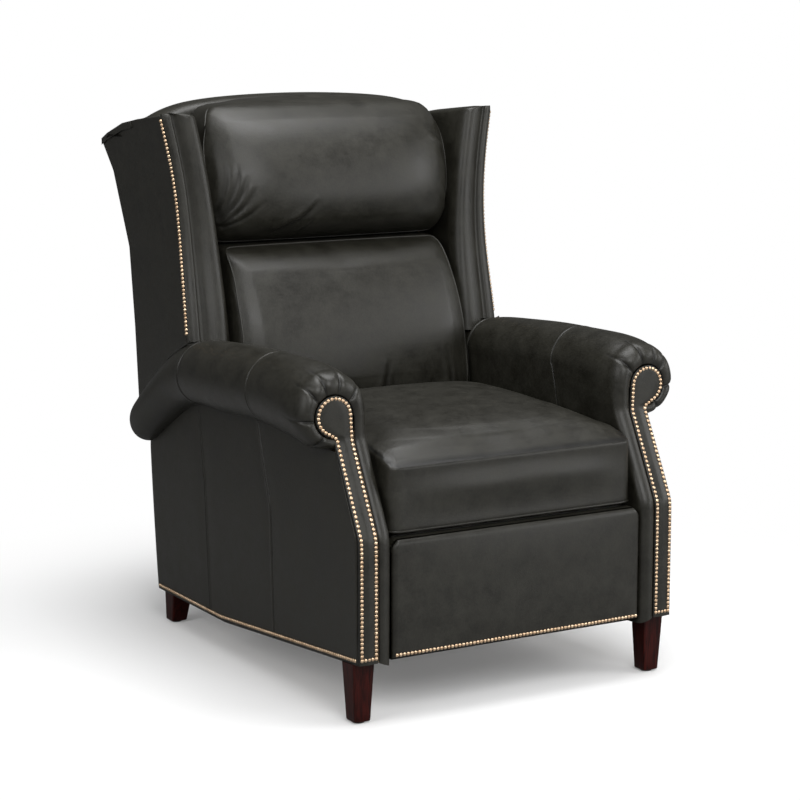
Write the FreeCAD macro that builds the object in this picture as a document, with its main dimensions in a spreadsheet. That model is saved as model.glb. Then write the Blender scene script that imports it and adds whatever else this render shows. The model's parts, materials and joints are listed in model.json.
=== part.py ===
import FreeCAD, Part
import math
import os
import Sketcher

# Wingback recliner with rolled arms, nail trim and a folding footrest.
# Millimetres. The chair faces -Y, +Z is up, and the origin is on the floor under the middle.

doc = FreeCAD.newDocument("wingback_recliner")
sizes = doc.addObject("Spreadsheet::Sheet", "sizes")
Vector = FreeCAD.Vector
nodes = []


def size(alias, value, note):
    """Write one driving dimension into the sheet and read it back as a number."""
    size.row += 1
    cell = "B%d" % size.row
    sizes.set("A%d" % size.row, note)
    sizes.set(cell, str(value))
    sizes.setAlias(cell, alias)
    return float(sizes.getContents(cell))


def row(alias, values, note):
    """Write one size at several places in turn, and read them back as a list of numbers."""
    return [size("%s_%d" % (alias, k), value, "%s, place %d" % (note, k))
            for k, value in enumerate(values, 1)]


def across(*aliases):
    """A distance from the middle: the first size less the others, as a number and as an expression."""
    first, *others = [float(sizes.getContents(sizes.getCellFromAlias(alias))) for alias in aliases]
    return first - sum(others), "(sizes." + " - sizes.".join(aliases) + ")"


size.row = 0

# Base and arms
front_y = size("front_y", -537, "front face of the arm posts")
hem_front = size("hem_front", 120, "height of the bottom edge at the front")
hem_rear = size("hem_rear", 72, "height of the bottom edge at the rear")
hem_turn_y = size("hem_turn_y", 40, "where the sloping bottom edge turns level")
rear_low_y = size("rear_low_y", 347, "rear of the base at the bottom edge")
rear_top_y = size("rear_top_y", 376, "rear of the base under the arm roll")
rear_top_z = size("rear_top_z", 378, "height where the rear apron ends")
base_half = size("base_half", 354, "half width over the side panels at the front")
base_taper = size("base_taper", 12, "how much each side closes in towards the rear")
knee_z = size("knee_z", 352, "height where the arm front starts to lean back")
neck_y = size("neck_y", -449, "front of the arm under its scroll")
neck_z = size("neck_z", 522, "height where the arm front turns upright again")
knee_radius = size("knee_radius", 60, "rounding at the knee and neck of the arm front")
side_skin = size("side_skin", 8, "thickness of a padded outer panel")
facing_width = size("facing_width", 41, "width of the arm facing below its head")
facing_inner = base_half - facing_width
facing_skin = size("facing_skin", 6, "thickness of the arm facing")
scroll_radius = size("scroll_radius", 39, "radius of the facing's round head")
margin = size("margin", 40, "how far a cutting block runs past what it cuts")
arm_width = size("arm_width", 70, "width of the arm from its inner face to the side panel")
arm_inner, arm_inner_cell = across("base_half", "arm_width")
inner_skin = size("inner_skin", 10, "thickness of the inner arm panel")
band_back = size("band_back", 2, "how far the arm's inner front band sits behind the facing")
seat_gap = size("seat_gap", 0.3, "clearance between pieces that lie against each other")

# Arm roll
roll_x = base_half
roll_front_z = size("roll_front_z", 568, "roll centre height at the front")
roll_front_radius = size("roll_front_radius", 75, "roll radius at the front")
roll_mid_y = size("roll_mid_y", -222, "front ring seam")
roll_mid_z = size("roll_mid_z", 589, "roll centre height at the front ring seam")
roll_mid_radius = size("roll_mid_radius", 69, "roll radius at the front ring seam")
roll_seam_y = size("roll_seam_y", 98, "rear ring seam")
roll_seam_z = size("roll_seam_z", 576, "roll centre height at the rear ring seam")
roll_seam_radius = size("roll_seam_radius", 64, "roll radius at the rear ring seam")
roll_rear_y = size("roll_rear_y", 368, "where the roll starts to close at the rear")
roll_rear_z = size("roll_rear_z", 442, "roll centre height at the rear")
roll_rear_radius = size("roll_rear_radius", 57, "roll radius at the rear")
roll_sag = size("roll_sag", 14, "how far the roll arches over the line between its rear seam and its rear")
roll_ease = size("roll_ease", 2, "how far the roll dips midway between its two ring seams")
gather_depths = row("gather_depth", (0, 7, 22, 48), "distance behind the roll's front")
gather_steps = row("gather_step", (22, 10, 2, 0), "how much smaller the gathered roll is there")
gather_rise = size("gather_rise", 3, "how far the roll's centre has climbed behind its gathered front")
close_reaches = row("close_reach", (18, 27), "distance behind the roll's rear station where it closes")
close_steps = row("close_step", (10, 28), "how much smaller the closing roll is there")
close_drops = row("close_drop", (7, 10), "how far the closing roll has dropped there")

# Legs
front_leg_inset = size("front_leg_inset", 23, "front leg centre from the side panel's face")
front_leg_x = base_half - front_leg_inset
front_leg_y = size("front_leg_y", -492, "front leg centre")
leg_top = size("leg_top", 46, "leg width at the top")
leg_foot = size("leg_foot", 34, "leg width at the floor")
rear_leg_inset = size("rear_leg_inset", 42, "rear leg centre from the side panel's front edge")
rear_leg_x = base_half - rear_leg_inset
rear_leg_y = size("rear_leg_y", 312, "rear leg centre at the top")
leg_rake = size("leg_rake", 14, "how far a rear leg leans back")
glide_height = size("glide_height", 3, "height of the glide under a leg")
glide_radius = size("glide_radius", 11, "radius of a glide")
bolt_radius = size("bolt_radius", 4, "hanger bolt radius")
bolt_depth = size("bolt_depth", 45, "hanger bolt length in the leg")
bolt_fit = size("bolt_fit", 0.1, "radial clearance round a hanger bolt")
leg_spare = size("leg_spare", 6, "spare length at a leg's top, trimmed along the sloping bottom edge")

# Base cross pieces
rear_rail_thick = size("rear_rail_thick", 22, "thickness of the rear rail")
rear_rail_height = size("rear_rail_height", 150, "height of the rear rail")
rear_rail_inset = size("rear_rail_inset", 32, "front of the rear rail from the base's rear")
rear_rail_lift = size("rear_rail_lift", 12, "rear rail above the bottom edge")
stretcher_y = size("stretcher_y", -250, "front of the cross stretcher")
stretcher_width = size("stretcher_width", 40, "width of the cross stretcher")
stretcher_height = size("stretcher_height", 26, "height of the cross stretcher")
stretcher_lift = size("stretcher_lift", 4, "cross stretcher above the bottom edge at the front")

# Mechanism
steel = size("steel", 5, "thickness of a steel link or plate")
rail_depth = size("rail_depth", 18, "depth of the mechanism rail from the arm's inner face")
rail_web, rail_web_cell = across("base_half", "arm_width", "rail_depth")
rail_low = size("rail_low", 262, "underside of the mechanism rail")
rail_height = size("rail_height", 68, "height of the mechanism rail")
rail_front = size("rail_front", -480, "front end of the mechanism rail")
rail_rear = size("rail_rear", 300, "rear end of the mechanism rail")
rail_wall = size("rail_wall", 4, "wall of the mechanism rail")
ledge_width = size("ledge_width", 10, "width of the ledge that carries the seat runner")
ledge_z = size("ledge_z", 285, "top of that ledge")
ledge_spare = size("ledge_spare", 60, "how far the ledge runs on behind the seat runner")
runner_height = size("runner_height", 30, "height of the seat runner")
runner_width = size("runner_width", 10, "width of the seat runner")
runner_front = size("runner_front", -440, "front end of the seat runner")
runner_rear = size("runner_rear", 20, "rear end of the seat runner")
pin_radius = size("pin_radius", 5, "radius of a link pin")
pin_fit = size("pin_fit", 0.06, "radial clearance of a link on its pin")
pin_head = size("pin_head", 8, "radius of a pin head")
head_thick = size("head_thick", 1.5, "thickness of a pin head")
side_play = size("side_play", 1, "side gap between moving plates")
link_radius = size("link_radius", 12, "radius of a link's end")
pivot_a_y = size("pivot_a_y", -319, "seat pivot of the lower link")
pivot_a_z = size("pivot_a_z", 300, "seat pivot of the lower link")
pivot_c_y = size("pivot_c_y", -370, "pivot between the links")
pivot_c_z = size("pivot_c_z", 135, "pivot between the links")
pivot_b_y = size("pivot_b_y", -479, "footrest pivot of the upper link")
pivot_b_z = size("pivot_b_z", 290, "footrest pivot of the upper link")
tube_radius = size("tube_radius", 8, "cross tube radius")
tube_share = size("tube_share", 0.4, "where the cross tube sits, as a share of the link from its knee")
hinge_y = size("hinge_y", 267, "recline hinge")
hinge_z = size("hinge_z", 300, "recline hinge")
hinge_radius = size("hinge_radius", 6, "recline hinge pin radius")
hinge_plate = size("hinge_plate", 20, "end radius of the hinge arm")

# Seat
seat_play = size("seat_play", 4, "gap between the seat frame and the mechanism rail's inner face")
seat_half, seat_half_cell = across("base_half", "arm_width", "rail_depth", "seat_play")
seat_rail = size("seat_rail", 30, "seat rail width and height")
seat_front = size("seat_front", -495, "front of the seat frame")
seat_rear = size("seat_rear", 75, "rear of the seat frame")
strap_width = size("strap_width", 50, "webbing strap width")
strap_thick = size("strap_thick", 2.5, "webbing strap thickness")
seat_straps = size("seat_straps", 5, "seat straps that run front to back")
seat_cross_straps = size("seat_cross_straps", 6, "seat straps that run side to side")
strap_pitch = size("strap_pitch", 92, "distance between seat straps that run front to back")
cross_pitch = size("cross_pitch", 96, "distance between seat straps that run side to side")
cross_start = size("cross_start", 20, "first cross strap from the front of the seat frame")
cushion_gap = size("cushion_gap", 8, "gap between the seat cushion and the arm")
cushion_half = arm_inner - cushion_gap
cushion_front = size("cushion_front", -516, "front of the seat cushion")
cushion_rear = size("cushion_rear", 62, "rear of the seat cushion")
cushion_top = size("cushion_top", 512, "height of the cushion's side edge in the middle")
cushion_crown = size("cushion_crown", 16, "crown of the seat cushion")
cushion_waist = size("cushion_waist", 4, "how far the cushion's sides draw in")
cushion_corner = size("cushion_corner", 16, "rounding of the cushion's edges")
cushion_end = size("cushion_end", 10, "how much narrower and lower the cushion's end slices are")
cushion_lift = size("cushion_lift", 8, "how far an end slice's underside is lifted")
cushion_shares = row("cushion_share", (0, 0.02, 0.14, 0.32, 0.55, 0.85, 0.98, 1),
                     "cushion slice along its length")
cushion_falls = row("cushion_fall", (46, 36, 18, 4, 0, 6, 16, 26), "edge there below the cushion's side edge")
cushion_crowns = row("cushion_crown_share", (0.06, 0.12, 0.5, 1, 1, 0.8, 0.5, 0.06),
                     "share of the crown there")

# Footrest
board_thick = size("board_thick", 15, "footrest board thickness")
pad_play = size("pad_play", 3, "gap between the footrest pad and the arm's inner face")
pad_half = arm_inner - pad_play
board_inset = size("board_inset", 13, "footrest board inside the pad's side edges")
board_half, board_half_cell = across("base_half", "arm_width", "pad_play", "board_inset")
board_margin = size("board_margin", 7, "footrest board inside the pad's upper and lower edges")
pad_thick = size("pad_thick", 22, "footrest pad thickness")
pad_low = size("pad_low", 120, "lower edge of the footrest pad")
pad_crown = size("pad_crown", 5, "crown of the footrest pad")
pad_sink = size("pad_sink", 0.6, "share of the pad's crown that lies behind the arm fronts' plane")
pad_corner = size("pad_corner", 6, "rounding of the footrest pad's edges")
pad_levels = row("pad_level", (0, 6, 112.5, 215, 225), "height of a footrest pad slice over its lower edge")
pad_narrows = row("pad_narrow", (3, 0, 0, 0, 8), "how much narrower that slice is each side")
pad_insets = row("pad_inset", (7, 1, 0, 1, 9), "how far that slice's front is set back")
foot_flange = size("foot_flange", 25, "how far the footrest bracket's foot runs inwards")
foot_plate = size("foot_plate", 3, "thickness of the footrest bracket's foot")
foot_reach = size("foot_reach", 30, "how far the bracket's foot runs above and below its pin")

# Back
back_y = size("back_y", 187, "front plane of the back frame at its reference height")
back_z = size("back_z", 440, "reference height of the back frame")
back_rake = size("back_rake", 11.6, "rake of the back frame in degrees")
stile_width = size("stile_width", 30, "back stile width")
stile_depth = size("stile_depth", 45, "back stile depth")
stile_play = size("stile_play", 9, "gap between a back stile and the mechanism rail's inner face")
stile_outer, stile_outer_cell = across("base_half", "arm_width", "rail_depth", "stile_play")
stile_low = size("stile_low", -100, "lower end of a stile along the back")
stile_high = size("stile_high", 600, "upper end of a stile along the back")
back_rail_height = size("back_rail_height", 44, "height of a back rail")
back_rail_depth = size("back_rail_depth", 20, "depth of a back rail")
back_rail_low = size("back_rail_low", 160, "lower back rail along the back")
back_rail_top = size("back_rail_top", 540, "upper back rail along the back")
back_straps = size("back_straps", 8, "webbing straps in the back")
back_strap_low = size("back_strap_low", 70, "lowest back strap from the stiles' lower ends")
back_strap_top = size("back_strap_top", 40, "highest back strap from the stiles' upper ends")
rail_fit_z = size("rail_fit_z", 620, "height at which the back rails' length is measured")
rail_fit = size("rail_fit", 2, "end gap of a back rail against the wing board")
hinge_head = size("hinge_head", 9, "radius of a recline hinge pin's head")
back_cushion_low = size("back_cushion_low", 436, "underside of the back cushion")
back_cushion_top = size("back_cushion_top", 820, "top of the back cushion")
back_cushion_gap = size("back_cushion_gap", 10, "gap between the back cushion and the arm's inner face")
back_cushion_half = arm_inner - back_cushion_gap
back_corner = size("back_corner", 22, "rounding of the back cushion's edges")
back_shares = row("back_share", (0, 0.03, 0.17, 0.4, 0.62, 0.8, 0.92, 0.98, 1),
                  "back cushion slice up its height")
back_fronts = row("back_front", (96, 82, 72, 78, 96, 128, 158, 182, 200), "front of that slice")
back_crowns = row("back_crown", (4, 8, 12, 22, 26, 24, 18, 12, 4), "crown of that slice")
back_narrows = row("back_narrow", (16, 6, 0, 1, 4, 8, 12, 16, 26),
                   "how much narrower that slice is each side")
pillow_top = size("pillow_top", 1116, "top of the head pillow")
pillow_gap = size("pillow_gap", 2, "gap between the head pillow and the back cushion")
pillow_side_gap = size("pillow_side_gap", 4, "how far the head pillow stays inside the arm's inner face")
pillow_half = arm_inner - pillow_side_gap
pillow_corner = size("pillow_corner", 20, "rounding of the head pillow's edges")
pillow_shares = row("pillow_share", (0, 0.03, 0.12, 0.28, 0.45, 0.65, 0.82, 0.93, 1),
                    "pillow slice up its height")
pillow_fronts = row("pillow_front", (206, 190, 176, 168, 170, 186, 210, 240, 276), "front of that slice")
pillow_crowns = row("pillow_crown", (6, 14, 34, 46, 42, 34, 26, 18, 8), "crown of that slice")
pillow_narrows = row("pillow_narrow", (34, 20, 6, 0, 0, 5, 14, 28, 60), "how much narrower it is each side")
crest_top = size("crest_top", 1120, "top of the crest")
crest_low = size("crest_low", 1040, "underside of the crest")
crest_front = size("crest_front", 330, "front of the crest")
crest_reach = size("crest_reach", 20, "how far the crest runs out beyond the side panels' front edges")
crest_half = base_half + crest_reach
crest_edge = size("crest_edge", 18, "rounding of the crest's front upper edge")
crest_flat = size("crest_flat", 90, "distance from the crest's front to where its top turns down")
crest_turn = size("crest_turn", 60, "rounding where the crest's top turns down")
crest_tail = size("crest_tail", 12, "distance from the crest's rear to where its slope ends")
crest_fall = size("crest_fall", 34, "how far the crest's slope falls to the rear")
crest_tail_edge = size("crest_tail_edge", 20, "rounding where the crest's slope ends")
crest_lip = size("crest_lip", 6, "height of the crest's rear edge")
crest_drop = size("crest_drop", 52, "how far the crest arches down to its ends")
back_low = size("back_low", 385, "lower edge of the outside back")
wing_skin = size("wing_skin", 6, "thickness of the outside wing panel")
wing_board = size("wing_board", 18, "thickness of the wing board")
wing_bulge = size("wing_bulge", 20, "forward bulge of the wing's front roll")
wing_front_z = size("wing_front_z", 1088, "height of the wing's top at the front")
wing_arm_gap = size("wing_arm_gap", 7, "gap between the wing and the arm roll")
wing_frame_inset = size("wing_frame_inset", 14, "front of the wing board behind the wing's front edge")
wing_heel = size("wing_heel", 26, "how far the wing's front roll runs back on the inside")
wing_rear_gap = size("wing_rear_gap", 8, "rear of the wing's padding ahead of the stiles' rear face")
wing_levels = row("wing_level", (470, 630, 800, 960, 1100), "height of a wing slice")
wing_outs = row("wing_out", (19, 18, 13, 20, 45), "wing's outer front edge beyond the side panel there")
wing_fronts = row("wing_front", (112, 128, 160, 177, 189), "wing's front edge there")
pad_heels = row("pad_heel", (-11, -9, -3, 17, 50),
                "wing padding's inner front edge beyond the arm's inner face")
pad_rears = row("pad_rear", (-5, -5, 0, 4, 8), "wing padding's inner rear edge beyond the arm's inner face")
rear_levels = row("rear_level", (380, 470, 630, 800, 960, 1100), "height of a slice of the rear edge")
rear_outs = row("rear_out", (-10, -9, -8, -4, 10, 32), "rear edge beyond the side panel's front edge there")
rear_places = row("rear_place", (421, 427, 438, 451, 495, 572), "place of the rear edge there")
wing_tops = row("wing_top_place", (398, 493, 600), "place along the wing's sloping top")
wing_falls = row("wing_fall", (23, 48, 90), "how far the wing's top has fallen there")
wing_top_lead = size("wing_top_lead", 6, "how far the wing's top would climb ahead of its front edge")

# Nails
nail_radius = size("nail_radius", 3.8, "nail head radius")
nail_height = size("nail_height", 2, "nail head height")
nail_crown = size("nail_crown", 2, "radius of the top of a nail head")
nail_pitch = size("nail_pitch", 8, "distance between nail heads")
nail_inset = size("nail_inset", 5.5, "nail row from the panel's edge")
nail_lift = size("nail_lift", 0.3, "how far a wing nail stands off the wing's side")
front_nail_low = size("front_nail_low", 9.5, "lowest nail of the arm front above the bottom edge")
hem_nail_rise = size("hem_nail_rise", 8.5, "nail row above the side panel's bottom edge")
hem_nail_ends = row("hem_nail_end", (14, 8), "end of the hem's nail row from the side panel's edge")
wing_nail_low = size("wing_nail_low", 8, "lowest wing nail above the wing's lower edge")
wing_nail_top = size("wing_nail_top", 10, "highest wing nail below the wing's top")
foot_nail_inset = size("foot_nail_inset", 8.5, "nail row from the footrest pad's edges")


sizes.recompute()


def node(label, thing):
    """Name a finished object after its node and list it for export."""
    thing.Label = label
    nodes.append(thing)
    return thing


def feature(label, shape):
    """A node whose shape is made here from the sheet's sizes."""
    thing = doc.addObject("Part::Feature", label)
    thing.Shape = shape
    thing.Placement = FreeCAD.Placement()
    return node(label, thing)


def group(label, things):
    """A node that holds several separate solids."""
    thing = doc.addObject("Part::Compound", label)
    thing.Links = things
    return node(label, thing)


def bind(thing, texts):
    """Bind properties to expressions on the sheet."""
    for name, text in texts.items():
        thing.setExpression(name, text)


def block(name, length, width, height, x, y, z):
    """A rectangular block whose sizes and place are expressions on the sheet."""
    thing = doc.addObject("Part::Box", name)
    bind(thing, {"Length": length, "Width": width, "Height": height})
    bind(thing, {"Placement.Base.x": x, "Placement.Base.y": y, "Placement.Base.z": z})
    return thing


def rod_x(name, radius, length, x, y, z):
    """A cylinder along +X whose sizes and place are expressions on the sheet."""
    thing = doc.addObject("Part::Cylinder", name)
    thing.Placement = FreeCAD.Placement(Vector(), FreeCAD.Rotation(Vector(0, 1, 0), 90))
    bind(thing, {"Radius": radius, "Height": length})
    bind(thing, {"Placement.Base.x": x, "Placement.Base.y": y, "Placement.Base.z": z})
    return thing


def mirrored(shape):
    """The same shape on the chair's other side."""
    return shape.mirror(Vector(0, 0, 0), Vector(1, 0, 0))


def both_sides(name, shape):
    """A left and a right node from the shape on the +X side."""
    feature(name + "_right", mirrored(shape))
    feature(name + "_left", shape)


def outline(corners, place):
    """A closed wire through (a, b, radius) corners, each rounded by its radius."""
    count = len(corners)
    starts = []
    for i in range(count):
        a, b, radius = corners[i]
        here = Vector(a, b, 0)
        back = (Vector(corners[i - 1][0], corners[i - 1][1], 0) - here).normalize()
        ahead = (Vector(corners[(i + 1) % count][0], corners[(i + 1) % count][1], 0) - here).normalize()
        if radius == 0:
            starts.append((here, None, here))
            continue
        half = back.getAngle(ahead) / 2
        reach = radius / math.tan(half)
        middle = (back + ahead).normalize()
        arc_mid = here + middle * (radius / math.sin(half) - radius)
        starts.append((here + back * reach, arc_mid, here + ahead * reach))
    edges = []
    for i in range(count):
        first, arc_mid, last = starts[i]
        if arc_mid is not None:
            edges.append(Part.Arc(place(first), place(arc_mid), place(last)).toShape())
        following = starts[(i + 1) % count][0]
        if last.distanceToPoint(following) > 0.001:
            edges.append(Part.LineSegment(place(last), place(following)).toShape())
    return Part.Wire(edges)


def yz_prism(corners, x_low, x_high):
    """An outline in Y and Z, extruded along X."""
    wire = outline(corners, lambda p: Vector(x_low, p.x, p.y))
    return Part.Face(wire).extrude(Vector(x_high - x_low, 0, 0))


def slab(x_low, x_high, y_low, y_high, z_low, z_high):
    """A plain block between two corners."""
    return Part.makeBox(x_high - x_low, y_high - y_low, z_high - z_low, Vector(x_low, y_low, z_low))


def blend(value, places, amounts):
    """Straight-line reading of an amount given at rising places."""
    points = list(zip(places, amounts))
    for (low, first), (high, last) in zip(points, points[1:]):
        if value <= high:
            break
    return first + (last - first) * (value - low) / (high - low)


# Arms

def arm_region(front_shift, rear_shift, top):
    """The arm's side outline in Y and Z, with its front and rear edges moved in."""
    tail_y = rear_top_y + rear_shift
    return [
        (front_y + front_shift, hem_front, 0),
        (front_y + front_shift, knee_z, knee_radius),
        (neck_y + front_shift, neck_z, knee_radius / 2),
        (neck_y + front_shift, top, 0),
        (roll_mid_y, roll_mid_z, 0),
        (roll_seam_y, roll_seam_z, 0),
        (tail_y, roll_rear_z, 0),
        (tail_y, rear_top_z, 0),
        (rear_low_y + rear_shift, hem_rear, 0),
        (hem_turn_y, hem_rear, 0),
    ]


def ring(y, x, z, radius):
    """A circle in the XZ plane, as four quarter arcs."""
    def at(turn):
        angle = math.radians(turn)
        return Vector(x + radius * math.cos(angle), y, z + radius * math.sin(angle))
    arcs = [Part.Arc(at(k * 90), at(k * 90 + 45), at(k * 90 + 90)).toShape() for k in range(4)]
    return Part.Wire(arcs)


def roll_centre_x(y):
    """The roll follows the side panel as the chair narrows towards the rear."""
    return roll_x - base_taper * (y - neck_y) / (rear_top_y - neck_y)


sagging_z = (roll_seam_z + roll_rear_z) / 2 + roll_sag
sagging_radius = (roll_seam_radius + roll_rear_radius) / 2 + seat_gap


def arm_roll(extra):
    """The arm roll: circles along its sweep, gathered at the front and closed at the rear."""
    start = neck_y + facing_skin + seat_gap
    stations = [(start + depth, roll_front_z, roll_front_radius - step)
                for depth, step in zip(gather_depths, gather_steps)]
    stations[0] = (start - extra,) + stations[0][1:]
    stations[3] = (stations[3][0], roll_front_z + gather_rise, roll_front_radius)
    stations += [
        (roll_mid_y, roll_mid_z, roll_mid_radius),
        ((roll_mid_y + roll_seam_y) / 2, roll_mid_z - roll_ease, (roll_mid_radius + roll_seam_radius) / 2),
        (roll_seam_y, roll_seam_z, roll_seam_radius),
        ((roll_seam_y + roll_rear_y) / 2, sagging_z, sagging_radius),
        (roll_rear_y, roll_rear_z, roll_rear_radius),
    ]
    stations += [(roll_rear_y + reach, roll_rear_z - drop, roll_rear_radius - step)
                 for reach, drop, step in zip(close_reaches, close_drops, close_steps)]
    stations[-1] = (stations[-1][0] + extra,) + stations[-1][1:]
    rings = [ring(y, roll_centre_x(y), z, radius + extra) for y, z, radius in stations]
    pieces = []
    for first, last in ((0, 3), (3, 8), (8, 10)):
        ruled = last - first < 4
        pieces.append(Part.makeLoft(rings[first:last + 1], True, ruled))
    return pieces[0].fuse(pieces[1:]).removeSplitter()


def side_turn():
    """The small turn of the side panel about its front outer edge."""
    angle = math.degrees(math.atan(base_taper / (rear_top_y - front_y)))
    return FreeCAD.Rotation(Vector(0, 0, 1), angle)


def tapered(shape):
    """Turn a shape with the side panel."""
    pivot = Vector(base_half, front_y, 0)
    placement = FreeCAD.Placement(Vector(), side_turn(), pivot)
    return shape.transformGeometry(placement.toMatrix())


def facing_shape():
    """The nail-edged front panel: an upright strip with a round head, bent over the knee."""
    strip = slab(facing_inner, base_half, front_y - margin, neck_y + margin, hem_front, roll_front_z)
    head = Part.makeCylinder(scroll_radius, neck_y + 2 * margin - front_y,
                             Vector(roll_x, front_y - margin, roll_front_z), Vector(0, 1, 0))
    plan = strip.fuse(head).removeSplitter()
    top = roll_front_z + scroll_radius + margin
    outer = yz_prism(front_strip(0, top), facing_inner - margin, base_half + 2 * margin)
    inner = yz_prism(front_strip(facing_skin, top), facing_inner - 2 * margin, base_half + 3 * margin)
    return plan.common(outer.cut(inner))


def front_strip(shift, top):
    """The region behind the arm's front line, moved back by shift."""
    return [
        (front_y + shift, hem_front - margin, 0),
        (front_y + shift, knee_z, knee_radius),
        (neck_y + shift, neck_z, knee_radius / 2),
        (neck_y + shift, top, 0),
        (neck_y + 2 * margin, top, 0),
        (neck_y + 2 * margin, hem_front - margin, 0),
    ]


roll_room = arm_roll(seat_gap)
outside_region = arm_region(facing_skin + seat_gap, 0, roll_front_z)
outside = tapered(yz_prism(outside_region, base_half - side_skin, base_half))
frame_inner = arm_inner + inner_skin + seat_gap
frame_slab = yz_prism(arm_region(facing_skin, -side_skin - seat_gap, roll_front_z), frame_inner, base_half)
beyond = tapered(slab(base_half - side_skin - seat_gap, base_half + 2 * margin, front_y - margin,
                      rear_top_y + margin, 0, roll_front_z + 2 * margin))
inside = yz_prism(arm_region(band_back, -side_skin - seat_gap, roll_front_z), arm_inner,
                  arm_inner + inner_skin)
band = yz_prism(front_strip(band_back, roll_front_z), arm_inner, facing_inner - seat_gap)
band_rear = yz_prism(front_strip(facing_skin - seat_gap, roll_front_z + margin), arm_inner - margin,
                     facing_inner + margin)
trim = slab(arm_inner - margin, facing_inner, front_y - margin, neck_y + 3 * margin, 0, hem_front)
inside = inside.fuse(band.cut(band_rear).cut(trim)).removeSplitter()

both_sides("arm_outside", outside.cut(roll_room))
both_sides("arm_frame", frame_slab.cut(beyond).cut(roll_room))
both_sides("arm_inside", inside.cut(roll_room))
both_sides("arm_facing", facing_shape())
both_sides("arm_roll", arm_roll(0))


# Legs

def tapered_leg(name, x, y, rake, top_z):
    """A square tapered leg as a loft between two sketches."""
    body = doc.addObject("PartDesign::Body", name)
    plane = [o for o in body.Origin.OriginFeatures if o.Role == "XY_Plane"][0]
    sketches = []
    for level, alias, width, shift in (("foot", "leg_foot", leg_foot, rake), ("head", "leg_top", leg_top, 0)):
        sketch = body.newObject("Sketcher::SketchObject", name + "_" + level)
        sketch.AttachmentSupport = [(plane, "")]
        sketch.MapMode = "FlatFace"
        half = width / 2
        square = [Vector(a * half, b * half, 0) for a, b in ((-1, -1), (1, -1), (1, 1), (-1, 1))]
        for i in range(4):
            sketch.addGeometry(Part.LineSegment(square[i], square[(i + 1) % 4]))
        for i in range(4):
            sketch.addConstraint(Sketcher.Constraint("Coincident", i, 2, (i + 1) % 4, 1))
        for i, kind in enumerate(("Horizontal", "Vertical", "Horizontal", "Vertical")):
            sketch.addConstraint(Sketcher.Constraint(kind, i))
        sketch.addConstraint(Sketcher.Constraint("Symmetric", 0, 1, 2, 1, -1, 1))
        wide = sketch.addConstraint(Sketcher.Constraint("DistanceX", 0, 1, 0, 2, width))
        deep = sketch.addConstraint(Sketcher.Constraint("DistanceY", 1, 1, 1, 2, width))
        sketch.setExpression("Constraints[%d]" % wide, "sizes." + alias)
        sketch.setExpression("Constraints[%d]" % deep, "sizes." + alias)
        height = glide_height if level == "foot" else top_z
        sketch.AttachmentOffset = FreeCAD.Placement(Vector(0, shift, height), FreeCAD.Rotation())
        sketches.append(sketch)
    loft = body.newObject("PartDesign::AdditiveLoft", name + "_loft")
    loft.Profile = sketches[0]
    loft.Sections = [sketches[1]]
    loft.Ruled = True
    body.Tip = loft
    body.Placement = FreeCAD.Placement(Vector(x, y, 0), FreeCAD.Rotation())
    return body


def under_hem():
    """The space that the arm fills, which trims the legs to the sloping bottom edge."""
    return yz_prism(arm_region(-margin, margin, roll_front_z), -base_half - margin, base_half + margin)


def hem_height(y):
    """Height of the bottom edge at a place along the side."""
    return blend(y, (front_y, hem_turn_y, rear_low_y), (hem_front, hem_rear, hem_rear))


hem_block = doc.addObject("Part::Feature", "hem_block")
hem_block.Shape = under_hem()
bolts = []
glides = []
leg_ends = (("front", front_leg_x, front_leg_y, 0), ("rear", rear_leg_x, rear_leg_y, leg_rake))
for end, leg_x, leg_y, rake in leg_ends:
    for side, sign in (("left", 1), ("right", -1)):
        label = "leg_%s_%s" % (end, side)
        top_z = hem_height(leg_y) + leg_spare
        leg = tapered_leg(label + "_wood", sign * leg_x, leg_y, rake, top_z)
        bore = doc.addObject("Part::Cylinder", label + "_bore")
        bind(bore, {"Radius": "sizes.bolt_radius + sizes.bolt_fit", "Height": "sizes.bolt_depth * 2"})
        bore.Placement.Base = Vector(sign * leg_x, leg_y, hem_height(leg_y) - bolt_depth)
        cutter = doc.addObject("Part::MultiFuse", label + "_cutter")
        cutter.Shapes = [hem_block, bore]
        cut = doc.addObject("Part::Cut", label)
        cut.Base = leg
        cut.Tool = cutter
        node(label, cut)
        bolt = doc.addObject("Part::Cylinder", label + "_bolt")
        bind(bolt, {"Radius": "sizes.bolt_radius"})
        low = hem_height(leg_y) - bolt_depth
        bolt.Height = hem_height(leg_y + bolt_radius) - low - seat_gap
        bolt.Placement.Base = Vector(sign * leg_x, leg_y, low)
        bolts.append(bolt)
        glide = doc.addObject("Part::Cylinder", label + "_glide")
        bind(glide, {"Radius": "sizes.glide_radius", "Height": "sizes.glide_height"})
        glide.Placement.Base = Vector(sign * leg_x, leg_y + rake, 0)
        glides.append(glide)
group("leg_bolts", bolts)
group("foot_glides", glides)


# Base cross pieces

apron = [
    (rear_low_y - side_skin, hem_rear, 0),
    (rear_low_y, hem_rear, 0),
    (rear_top_y, rear_top_z, 0),
    (rear_top_y - side_skin, rear_top_z, 0),
]
apron_half = base_half - side_skin - base_taper - seat_gap
feature("rear_apron", yz_prism(apron, -apron_half, apron_half))
node("rear_rail", block("rear_rail", "2 * " + arm_inner_cell, "sizes.rear_rail_thick",
                        "sizes.rear_rail_height", "-" + arm_inner_cell,
                        "sizes.rear_low_y - sizes.rear_rail_inset", "sizes.hem_rear + sizes.rear_rail_lift"))
node("front_stretcher", block("front_stretcher", "2 * " + arm_inner_cell, "sizes.stretcher_width",
                              "sizes.stretcher_height", "-" + arm_inner_cell, "sizes.stretcher_y",
                              "sizes.hem_front + sizes.stretcher_lift"))


# Mechanism rails and seat runners

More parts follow.
